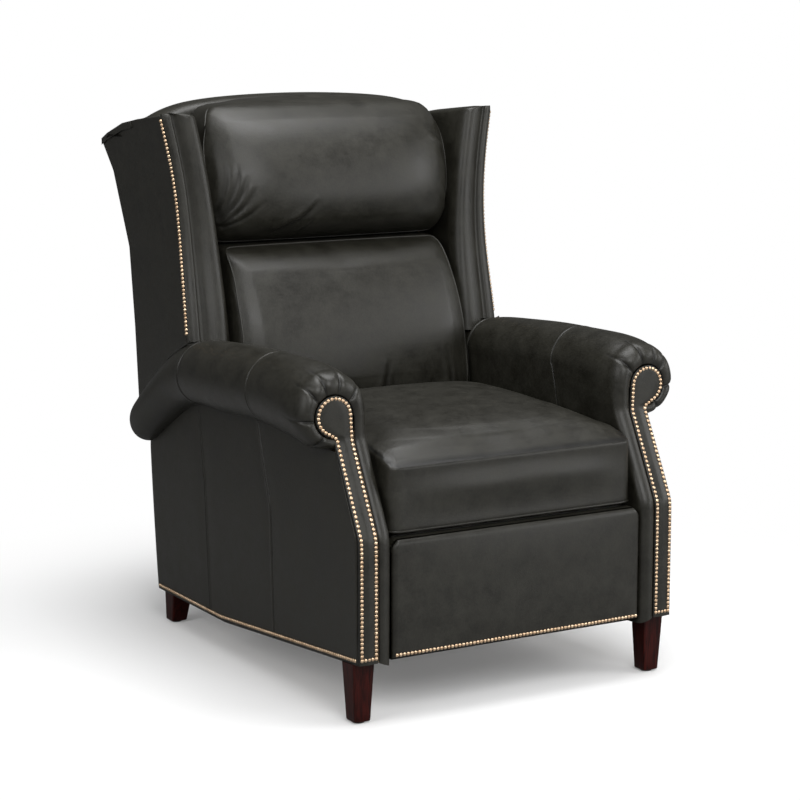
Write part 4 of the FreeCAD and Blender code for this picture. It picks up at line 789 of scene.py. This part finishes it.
plan, level = box_cushion(back_plan, back_low, back_high, 2.0)
back = skin("back_cushion_cover", np.stack([plan[..., 0], -level, plan[..., 1]], -1), (0, 130, 630))
back_edge = np.stack([back_plan[:, 0], curve(back_plan[:, 1], back_side), back_plan[:, 1]], -1)


def back_hold(points):
    """Nothing at the rear plane, the piped rim and the lower edge, rising to one away from them."""
    x, y, z = points.T
    rim = np.minimum(np.minimum(276 - np.abs(x), z - 436), 820 - z)
    return np.clip((frame_plane(z) - y) / 50, 0, 1) * np.clip(rim / 50, 0, 1)


inflate(back, 0.006, 3.5, 0.018, 40, back_hold)
subdivide(back)


back_folds = (((28, 470), (60, 572), 6, 4.5), ((60, 468), (72, 548), 5, 3.0),
              ((216, 474), (204, 592), 6, 4.5), ((236, 470), (224, 560), 5, 3.0),
              ((-250, 480), (-232, 610), 8, 3.5), ((150, 466), (172, 530), 6, 2.5))


def folded(points, normals, folds):
    """The points with all folds pressed into the front, and the painted shade in each fold's valley."""
    lift, dark = sum(np.array(fold(points, *one)) for one in folds)
    front = np.clip(-normals[:, 1], 0, 1)
    return points + normals * (lift * front)[:, None], np.clip(dark, 0, 1) * 0.35


def sew_back(points, normals):
    """Fold the lower corners where the sitter presses, and keep the rear flat on its webbing."""
    moved, dark = folded(points, normals, back_folds)
    moved[:, 0] = np.clip(moved[:, 0], -276, 276)
    moved[:, 1] = np.minimum(moved[:, 1], frame_plane(moved[:, 2]))
    return moved, dark


reshape(back, sew_back)
fit(back, charcoal, "leather", "back", "back_cushion")
fit(piping("back_welt", back, back_edge, 2.2), charcoal, "leather", "back")


# Head pillow: a full bolster of foam and fibre under leather, sewn to the back between the wings.
# Its top follows the crest, and folds fan out from its lower corners.

pillow_plan = rounded([(-266, 825, 30), (266, 825, 30), (293, 926, 90), (290, 1020, 90), (262, 1100, 44),
                       (150, 1113, 300), (0, 1119, 600), (-150, 1113, 300), (-262, 1100, 44), (-290, 1020, 90),
                       (-293, 926, 90)], 181)
pillow_front = [(826, 200), (850, 156), (880, 134), (915, 127), (960, 133), (1010, 153), (1055, 184), (1090, 222),
                (1108, 254), (1116, 286)]
pillow_side = [(826, 214), (850, 204), (880, 198), (920, 196), (970, 199), (1025, 213), (1078, 238), (1116, 276)]


def pillow_low(plan, reach):
    """The rear lies on the webbing's plane."""
    return -(frame_plane(plan[..., 1]) - 1.0)


def pillow_high(plan, reach):
    """The front goes over from the middle's line to the sides' line, and rounds in at the rim."""
    edge = np.clip(np.abs(plan[..., 0]) / 292, 0, 1) ** 5
    face = curve(plan[..., 1], pillow_front) * (1 - edge) + curve(plan[..., 1], pillow_side) * edge
    return -(face + 5 * np.clip((reach - 0.9) / 0.1, 0, 1) ** 2)


plan, level = box_cushion(pillow_plan, pillow_low, pillow_high, 2.0)
pillow = skin("head_pillow_cover", np.stack([plan[..., 0], -level, plan[..., 1]], -1), (0, 240, 970))
pillow_edge = np.stack([pillow_plan[:, 0], curve(pillow_plan[:, 1], pillow_side), pillow_plan[:, 1]], -1)
first = int(np.argmax(pillow_edge[:, 2] + pillow_edge[:, 0] / 20 > 1080))
pillow_edge = np.roll(pillow_edge[:-1], -first, axis=0)
pillow_edge = pillow_edge[pillow_edge[:, 2] < 1098]


def pillow_hold(points):
    """Nothing at the rear plane and the piped sides, rising to one away from them."""
    x, y, z = points.T
    rim = np.minimum(np.minimum(292 - np.abs(x), z - 824), 1120 - z)
    return np.clip((frame_plane(z) - y) / 60, 0, 1) * np.clip(rim / 50, 0, 1)


inflate(pillow, 0.006, 3.5, 0.018, 40, pillow_hold)
subdivide(pillow)


pillow_folds = (((-272, 880), (-238, 985), 5, 4.5), ((-270, 872), (-222, 962), 5, 4.8),
                ((-266, 864), (-208, 938), 5, 4.6), ((-262, 858), (-190, 912), 5, 4.0),
                ((-276, 890), (-262, 1000), 5, 3.6), ((-150, 846), (-66, 908), 6, 4.4),
                ((-96, 842), (-72, 874), 4, 2.4), ((272, 1018), (232, 1044), 5, 3.2),
                ((284, 880), (256, 930), 5, 3.2), ((284, 905), (266, 960), 5, 2.4))


def sew_pillow(points, normals):
    """Fans of folds spread from the pillow's lower corners, and one long crease crosses its front."""
    moved, dark = folded(points, normals, pillow_folds)
    moved[:, 1] = np.minimum(moved[:, 1], frame_plane(moved[:, 2]))
    moved[:, 2] = np.clip(moved[:, 2], 820.5, 1122)
    return moved, dark


reshape(pillow, sew_pillow)
fit(pillow, charcoal, "leather", "back", "head_pillow")
fit(piping("pillow_welt", pillow, pillow_edge, 2.0), charcoal, "leather", "back")


# Seat front: the leather of the seat's deck wraps round the front rail of its frame.
# It is seen in the narrow gap between the cushion and the footrest panel.

def rail_wrap():
    """x across, and round v a rounded square just outside the rail's section; both ends close."""
    half_long, half_thick, rail_y, rail_z = 262.4, 16.2, -480, 330
    across = np.concatenate([[-1], np.linspace(-1, 1, 40), [1]])
    turn = np.linspace(0, 2 * np.pi, 49)
    square = np.stack([np.cos(turn), np.sin(turn)], -1)
    square = np.sign(square) * np.abs(square) ** 0.2
    shut = np.concatenate([[0], np.ones(40), [0]])[:, None]
    y = rail_y + half_thick * shut * square[None, :, 0]
    z = rail_z + half_thick * shut * square[None, :, 1]
    return np.stack([half_long * across[:, None] + 0 * y, y, z], -1)


fit(skin("seat_front_wrap", rail_wrap(), (0, -480, 330)), charcoal, "leather", "seat")


# Footrest panel: a padded leather panel that closes round a board, flush with the arm fronts when
# it is shut. Its top corners are rounded, and a row of nails runs along its lower edge.

foot_half, foot_tall, foot_low, foot_rim, foot_face = 281, 225, 120, 11, -533.5


def foot_crown(across, up):
    """How far the padding stands out: most in the middle, and nothing at the four edges."""
    return 5 * (1 - np.abs(across / foot_half) ** 2.5) * (1 - np.abs(2 * up / foot_tall - 1) ** 3)


def foot_panel():
    """x across and z up. The front is crowned both ways, its rims are quarter rounds, and the two top
    corners are cut to an arc. From its edge, rows run back round the board and in to its middle."""
    turn = np.radians(np.linspace(0, 90, 12))
    rim = np.concatenate([[0], foot_rim * (1 - np.cos(turn))])
    a = np.concatenate([rim, np.linspace(foot_rim, foot_half, 60)[1:]])
    a = np.concatenate([a, 2 * foot_half - a[-2::-1]]) - foot_half
    b = np.concatenate([rim, np.linspace(foot_rim, foot_tall / 2, 30)[1:]])
    b = np.concatenate([b, foot_tall - b[-2::-1]])
    across, up = np.meshgrid(a, b, indexing="ij")
    corner = 15 * np.clip((up - 203) / 22, 0, 1) ** 2.2
    x = across * (1 - corner / foot_half)
    gap = np.minimum(foot_half - np.abs(across), np.minimum(up, foot_tall - up))
    short = foot_rim - np.clip(gap, 0, foot_rim)
    round_in = foot_rim - np.sqrt(np.clip(foot_rim ** 2 - short ** 2, 0, None))
    y = foot_face - foot_crown(across, up) + round_in
    front = np.stack([x, y, foot_low + up], -1)
    edge = np.concatenate([front[:, 0], front[-1, 1:], front[-2::-1, -1], front[0, -2:0:-1], front[:1, 0]])
    rear = -500
    middle = np.array((0, rear, foot_low + foot_tall / 2))
    rows = [edge * (1, 0, 1) + (0, depth, 0) for depth in (-528, -516, -503)]
    rows += [middle + (edge * (1, 0, 1) + (0, rear, 0) - middle) * share for share in (0.995, 0.96, 0.6, 0)]
    return front, np.array([edge] + rows)


front, behind = foot_panel()
foot = skin("footrest_cover", front, (0, -400, 232))
lining = skin("footrest_lining", behind, (0, -515, 232))
work = bmesh.new()
work.from_mesh(foot.data)
work.from_mesh(lining.data)
bmesh.ops.remove_doubles(work, verts=work.verts, dist=1e-5)
work.to_mesh(foot.data)
work.free()
face_outwards(foot.data)
foot.data.shade_smooth()
bpy.data.objects.remove(lining)
fit(foot, charcoal, "leather", "footrest", "footrest_pad", "footrest_board")
spots = evenly([(-272, -535, 128.5), (272, -535, 128.5)], nail_pitch)
spots[:, 1] = foot_face + 0.3 - foot_crown(spots[:, 0], 8.5)
fit(nails("foot_nail_heads", spots, np.tile((0.0, -1.0, 0.0), (len(spots), 1))), brass, "nails", "footrest",
    "footrest_nails")


# Wings: a flat leather side over a shaped board, a padded inside, and a soft double roll in front.
# The padding and a low cap close the top, a strip closes the underside, and a row of nails follows
# the outer front edge.

outer_front = [(470, 373), (630, 372), (800, 367), (960, 374), (1100, 399)]
front_place = [(470, 112), (630, 128), (800, 160), (960, 177), (1100, 189)]
rear_width = [(380, 344), (470, 345), (630, 346), (800, 350), (960, 364), (1100, 386)]
rear_place = [(380, 421), (470, 427), (630, 438), (800, 451), (960, 495), (1100, 572)]
wing_top = [(100, 1088), (185, 1088), (308, 1077), (398, 1065), (493, 1040), (560, 1016)]
wing_low = [(98, 644), (233, 591), (386, 501), (404, 470), (414, 392), (560, 390)]


def wing_x(z, y):
    """Outer face of the wing: straight from its front edge to its rear edge at each height."""
    front, rear = curve(z, front_place), line(z, rear_place)
    share = (y - front) / (rear - front)
    return curve(z, outer_front) + share * (line(z, rear_width) - curve(z, outer_front))


def wing_side():
    """u runs from the front edge to the rear edge and v from over the arm to the sloping top, with
    each point's height found from its place along Y. The rims turn in."""
    rim = np.array([9.0, 3.0, 1.2, 0.3])
    u = np.concatenate([[0, 0, 0, 0.004], np.linspace(0.01, 0.99, 60), [0.996, 1, 1, 1]])
    v = np.concatenate([[0, 0, 0, 0.004], np.linspace(0.012, 0.985, 80), [0.994, 1, 1, 1]])
    across, up = np.meshgrid(u, v, indexing="ij")
    y = 150 + across * 340
    for _ in range(8):
        low, top = line(y, wing_low), line(y, wing_top)
        z = low + up * (top - low)
        y = curve(z, front_place) + across * (line(z, rear_place) - curve(z, front_place))
    x = wing_x(z, y) - np.maximum(both_ends(rim, 60)[:, None], both_ends(rim, 80)[None, :])
    return np.stack([x, y, z], -1)


def wing_cap():
    """A low dome along the sloping top, behind the padding. u runs back and v across from the outer
    edge; the rims turn down and both ends close."""
    start, end = 346, 526
    y = np.concatenate([[start, start], np.linspace(start, end, 50), [end, end]])[:, None]
    v = np.concatenate([[0, 0, 0], np.linspace(0, 1, 30), [1, 1, 1]])[None, :]
    drop = both_ends([12, 5], 50)[:, None]
    down = both_ends([14, 7, 2], 30)[None, :]
    top = line(y, wing_top)
    outer = wing_x(top, y) + 0.4
    inner = 302 + 12 * np.clip((y - 330) / 40, 0, 1)
    x = outer + v * (inner - outer)
    rise = 2 + 4.5 * np.clip((y - start) / 70, 0, 1)
    z = top - 1.5 + rise * (1 - np.abs(2 * v - 1) ** 2.4) - np.maximum(drop, down)
    return np.stack([x, y + 0 * x, z], -1)


def wing_base():
    """A thin strip under the lower edge. u runs back along it and v across from the outer face."""
    y = np.linspace(112, 402, 70)[:, None]
    v = np.concatenate([[0, 0], np.linspace(0, 1, 12), [1, 1]])[None, :]
    low = line(y, wing_low)
    outer, inner = wing_x(low, y) + 0.2, 292
    return np.stack([outer + v * (inner - outer), y + 0 * v, low - 1.3 + both_ends([3, 1], 12)[None, :]], -1)


inner_place = [(470, 273), (630, 275), (800, 280), (960, 296), (1100, 322)]
inner_rear = [(470, 279), (630, 279), (800, 284), (960, 288), (1100, 292)]


def wing_cushion():
    """At each height v follows the plan: from the nail row over a narrow and a broad roll, then back
    along the inside to the frame. u climbs to the top, where the rows fold over to the outer edge."""
    plan = np.array([(0, 0), (0.03, -5), (0.1, -10), (0.19, -12), (0.26, -10.5), (0.3, -7), (0.34, -7.5),
                     (0.42, -13), (0.55, -19), (0.7, -22), (0.84, -20), (0.93, -13), (0.985, -1), (1.0, 12)])
    t = np.linspace(0, 1, 90)
    along = np.concatenate([[0], np.cumsum(np.linalg.norm(np.diff(plan * (90, 1), axis=0), axis=1))])
    along = along / along[-1]
    a = curve(t, np.stack([along, plan[:, 0]], -1))
    b = curve(t, np.stack([along, plan[:, 1]], -1))
    inside = np.linspace(0, 1, 30)[1:]
    u = np.linspace(0, 1, 110)
    nominal_y = np.concatenate([np.full(len(t), 170.0), 185 + inside * 160])
    low = line(nominal_y, wing_low)
    top = line(nominal_y, wing_top) - 8
    z = low + u[:, None] * (top - low)
    outer, front = curve(z, outer_front), curve(z, front_place)
    inner, heel = curve(z, inner_place), curve(z, inner_rear)
    roll, flat, roll_end = np.s_[:, :len(t)], np.s_[:, len(t):], plan[-1, 1]
    depth = 187 + slope * (z - 440) + 36
    roll_x = outer[roll] + a * (inner - outer)[roll]
    roll_y = front[roll] + b
    flat_x = inner[flat] + inside * (heel - inner)[flat] + 2.0 * np.sin(np.pi * inside)
    flat_y = front[flat] + roll_end + inside * (depth - front - roll_end)[flat]
    points = np.stack([np.concatenate([roll_x, flat_x], 1), np.concatenate([roll_y, flat_y], 1), z], -1)
    last = points[-1]
    target_y = np.clip(last[:, 1], 186, None) + 28 * np.concatenate([np.zeros(len(t)), inside ** 2])
    target = np.stack([wing_x(last[:, 2], target_y) - 1.5, target_y, line(target_y, wing_top) - 1.5], -1)
    share = np.array([0.01, 0.03, 0.06, 0.1, 0.15, 0.22, 0.32, 0.45, 0.6, 0.75, 0.88, 1.0])[:, None]
    ease = np.sqrt(1 - (1 - np.minimum(share * 6, 1)) ** 2)
    rows = last + share[..., None] * (target - last)
    rows[..., 2] = last[:, 2] + (target[:, 2] - last[:, 2]) * ease + 6 * np.sin(np.pi * share).clip(0) ** 0.6
    return np.concatenate([points, rows])


outer_wing, inner_wing, cap_wing, base_wing = wing_side(), wing_cushion(), wing_cap(), wing_base()
for side, sign in (("left", 1), ("right", -1)):
    cheek = skin("wing_side_" + side, outer_wing * (sign, 1, 1), (0, 300, 800))
    fit(cheek, charcoal, "leather", "back", "wing_outside_" + side)
    lining = skin("wing_roll_" + side, inner_wing * (sign, 1, 1), (sign * 335, 260, 850))
    fit(lining, charcoal, "leather", "back", "wing_pad_" + side)
    cap = skin("wing_cap_" + side, cap_wing * (sign, 1, 1), (sign * 350, 430, 1030))
    fit(cap, charcoal, "leather", "back")
    strip = skin("wing_base_" + side, base_wing * (sign, 1, 1), (sign * 340, 250, 900))
    fit(strip, charcoal, "leather", "back")
levels = np.array([652.0, 700, 800, 900, 960, 1020, 1078])
row_y = curve(levels, front_place)
spots = evenly(np.stack([wing_x(levels, row_y), row_y, levels], -1), nail_pitch)
spots[:, 1] = curve(spots[:, 2], front_place) - 0.6
spots[:, 0] = wing_x(spots[:, 2], spots[:, 1]) - 0.6
tilt = np.tile((0.66, -0.75, 0.0), (len(spots), 1))
fit(nails("wing_nail_heads", mirrored(spots), mirrored(tilt)), brass, "nails", "back", "wing_nails")


# Crest: the padded roll along the top of the back, arched up in the middle between the wings.
# Its leather runs on down to the outside back.

def crest():
    """x across, and round v a closed section from the front face over the top to the rear edge. The
    top drops with powers of x, and the rear corners tuck down to the wings' tops."""
    across = np.linspace(-1, 1, 90)
    section = np.array([(324.5, 1041), (324.5, 1094), (328, 1111), (344, 1120), (400, 1116.5), (450, 1098),
                        (500, 1073), (531, 1047), (536, 1040), (500, 1037), (400, 1037), (324.5, 1041)])
    along = np.concatenate([[0], np.cumsum(np.linalg.norm(np.diff(section, axis=0), axis=1))])
    at = np.linspace(0, 1, 60) * along[-1]
    y, z = (curve(at, np.stack([along, section[:, k]], -1)) for k in (0, 1))
    half = curve(y, [(324, 287), (333, 304), (350, 340), (375, 366), (540, 367)])
    x = across[:, None] * half
    drop = 20 * (x / 330) ** 2 + 22 * (np.abs(x) / 330) ** 7
    fall = drop * np.clip((z - 1040) / 70, 0, 1)
    tuck = 16 * np.clip((np.abs(x) - 325) / 42, 0, 1) * np.clip((y - 470) / 60, 0, 1)
    return np.stack([x, y - 0.4 * tuck, np.maximum(z - fall, 1036) - tuck], -1)


crown = skin("crest_cover", crest(), (0, 430, 1075))
fit(crown, charcoal, "leather", "back", "crest_pad")


# Outside back: a flat leather panel between the wings' rear edges, with a closing seam all round.
# It leans with the back and turns in at its rims.

def rear_cover():
    """x across and z up; the rear line gives each height its place along Y. The rims turn in, and the
    top drops a little at both corners."""
    a = np.concatenate([[-1, -1, -0.998], np.linspace(-0.99, 0.99, 60), [0.998, 1, 1]])
    foot, tall = 385, 655
    b = (np.concatenate([[385, 385, 386], np.linspace(390, 1036, 90), [1039, 1040, 1040]]) - foot) / tall
    across, up = np.meshgrid(a, b, indexing="ij")
    corner = 16 * np.clip((np.abs(across) - 0.86) / 0.14, 0, 1) ** 1.4
    z = foot + up * (tall - corner)
    x = across * (line(z, rear_width) - 5)
    return np.stack([x, line(z, rear_place) - turned_in(60, 90), z], -1)


shell = skin("outside_back_cover", rear_cover(), (0, 300, 700))
fit(shell, charcoal, "leather", "back", "outside_back")


# Frame and mechanism: bare wooden rails, woven webbing, black steel links on plated pins, and
# plastic glides. They are seen from below, and when the footrest is out or the back is down.

def simple(name, low, high, rough, metal, scale, stretch_to):
    """A finish whose colour and roughness wander between two values over streaks or patches."""
    material, tree, shader = new_material(name)
    place = add(tree, "ShaderNodeTexCoord").outputs["Object"]
    turned = add(tree, "ShaderNodeMapping", {"Vector": place}, Scale=stretch_to).outputs[0]
    patch = add(tree, "ShaderNodeTexNoise", {"Vector": turned}, Scale=scale, Detail=5.0)
    tint = add(tree, "ShaderNodeMix", {"Factor": patch.outputs["Fac"]}, data_type="RGBA")
    tint.inputs[6].default_value = (*low, 1)
    tint.inputs[7].default_value = (*high, 1)
    least, most = rough - 0.08, rough + 0.08
    worn = add(tree, "ShaderNodeMapRange", {"Value": patch.outputs["Fac"]}, To_Min=least, To_Max=most)
    bump = add(tree, "ShaderNodeBump", {"Height": patch.outputs["Fac"]}, Strength=0.2, Distance=0.0004)
    tree.links.new(tint.outputs[2], shader.inputs["Base Color"])
    tree.links.new(worn.outputs[0], shader.inputs["Roughness"])
    tree.links.new(bump.outputs[0], shader.inputs["Normal"])
    shader.inputs["Metallic"].default_value = metal
    return material


finishes = {
    "frame_wood": simple("bare_wood", (0.42, 0.27, 0.14), (0.62, 0.45, 0.27), 0.6, 0.0, 30.0, (1, 6, 6)),
    "painted_steel": simple("black_paint", (0.01, 0.01, 0.01), (0.022, 0.022, 0.022), 0.42, 0.0, 60.0, (1, 1, 1)),
    "bright_steel": simple("zinc_plate", (0.42, 0.42, 0.43), (0.62, 0.62, 0.61), 0.34, 1.0, 200.0, (1, 1, 1)),
    "webbing": simple("woven_strap", (0.018, 0.016, 0.014), (0.065, 0.055, 0.042), 0.85, 0.0, 500.0, (1, 1, 1)),
    "glide": simple("black_plastic", (0.010, 0.010, 0.010), (0.020, 0.020, 0.020), 0.5, 0.0, 300.0, (1, 1, 1)),
}
slots = {entry["node"]: entry["material_slot"] for entry in frame["record"]["subparts"]}
for name, node in frame["nodes"].items():
    if slots[name] in finishes and not node.hide_render:
        node.data.materials.clear()
        node.data.materials.append(finishes[slots[name]])


# Studio: a pale floor that runs up into a backdrop, five soft lamps and an even sky.
# The camera stands where the photograph was taken.

def backdrop():
    """A floor that bends up behind the chair in a wide quarter round."""
    near_end, far_end, bend, wide, tall = -9000, 5000, 3000, 12000, 12000
    turn = np.linspace(0, np.pi / 2, 20)[1:]
    y = np.concatenate([np.linspace(near_end, far_end, 30), far_end + bend * np.sin(turn), [far_end + bend] * 2])
    z = np.concatenate([np.zeros(30), bend * (1 - np.cos(turn)), [tall / 2, tall]])
    x = np.linspace(-wide, wide, 12)[:, None]
    return np.stack([x + 0 * y, y + 0 * x, z + 0 * x], -1)


sweep = skin("floor", backdrop(), (0, -2000, -9000))
paper, tree, shader = new_material("white_paper")
shader.inputs["Roughness"].default_value = 0.75
shader.inputs["Specular IOR Level"].default_value = 0.15
place = add(tree, "ShaderNodeTexCoord").outputs["Object"]
fibre = add(tree, "ShaderNodeTexNoise", {"Vector": place}, Scale=3.0)
tone = add(tree, "ShaderNodeMix", {"Factor": fibre.outputs["Fac"]}, data_type="RGBA")
tone.inputs[6].default_value = (0.95, 0.95, 0.95, 1)
tone.inputs[7].default_value = (0.98, 0.98, 0.98, 1)
far = add(tree, "ShaderNodeVectorMath", {0: place}, operation="LENGTH").outputs["Value"]
fade = add(tree, "ShaderNodeMapRange", {"Value": far}, interpolation_type="SMOOTHSTEP", From_Min=0.5, From_Max=1.35,
           To_Min=0.13)
looked = add(tree, "ShaderNodeLightPath").outputs["Is Camera Ray"]
shown = add(tree, "ShaderNodeMix", {"Factor": looked}, data_type="RGBA")
shown.inputs[6].default_value = (0.30, 0.30, 0.30, 1)
tree.links.new(tone.outputs[2], shown.inputs[7])
tree.links.new(shown.outputs[2], shader.inputs["Base Color"])
share = add(tree, "ShaderNodeMath", {0: fade.outputs[0], 1: looked}, operation="MULTIPLY")
glow = add(tree, "ShaderNodeEmission", Strength=1.0)
blend = add(tree, "ShaderNodeMixShader", {"Fac": share.outputs[0], 1: shader.outputs[0], 2: glow.outputs[0]})
tree.links.new(blend.outputs[0], tree.nodes["Material Output"].inputs["Surface"])
sweep.data.materials.append(paper)


def lamp(name, place, aim, size, power):
    """A square area lamp at a place, aimed at a point."""
    data = bpy.data.lights.new(name, "AREA")
    data.shape = "SQUARE"
    data.size = size
    data.energy = power
    made = bpy.data.objects.new(name, data)
    bpy.context.scene.collection.objects.link(made)
    way = Vector(aim) - Vector(place)
    made.matrix_world = Matrix.Translation(place) @ way.to_track_quat("-Z", "Y").to_matrix().to_4x4()


lamp("key", (-0.9, -3.6, 3.0), (0, 0, 0.6), 2.4, 112)
lamp("fill", (3.3, -2.2, 2.0), (0, 0, 0.6), 2.0, 55)
lamp("side", (-3.6, -1.2, 2.4), (0, 0, 0.6), 1.8, 46)
lamp("low", (2.7, -4.2, 0.85), (0, 0, 0.4), 1.6, 34)
lamp("top", (0.2, -0.2, 3.4), (0, 0, 0.5), 1.9, 80)

world = bpy.data.worlds.new("studio")
bpy.context.scene.world = world
world.use_nodes = True
sky = world.node_tree
camera_ray = add(sky, "ShaderNodeLightPath")
strength = add(sky, "ShaderNodeMapRange", {"Value": camera_ray.outputs["Is Camera Ray"]}, To_Min=0.3, To_Max=1.0)
sky.nodes["Background"].inputs["Color"].default_value = (1, 1, 1, 1)
sky.links.new(strength.outputs[0], sky.nodes["Background"].inputs["Strength"])

camera = bpy.data.objects.new("camera", bpy.data.cameras.new("camera"))
bpy.context.scene.collection.objects.link(camera)
camera.data.sensor_width = 36
camera.data.lens = 103.5
camera.data.clip_end = 60
stand = Matrix.Translation((-2.3706, -4.0438, 1.3035))
ahead = Vector((0.5069, 0.8454, -0.1684))
camera.matrix_world = stand @ ahead.to_track_quat("-Z", "Y").to_matrix().to_4x4()
bpy.context.scene.camera = camera
bpy.context.scene.view_settings.view_transform = "Standard"
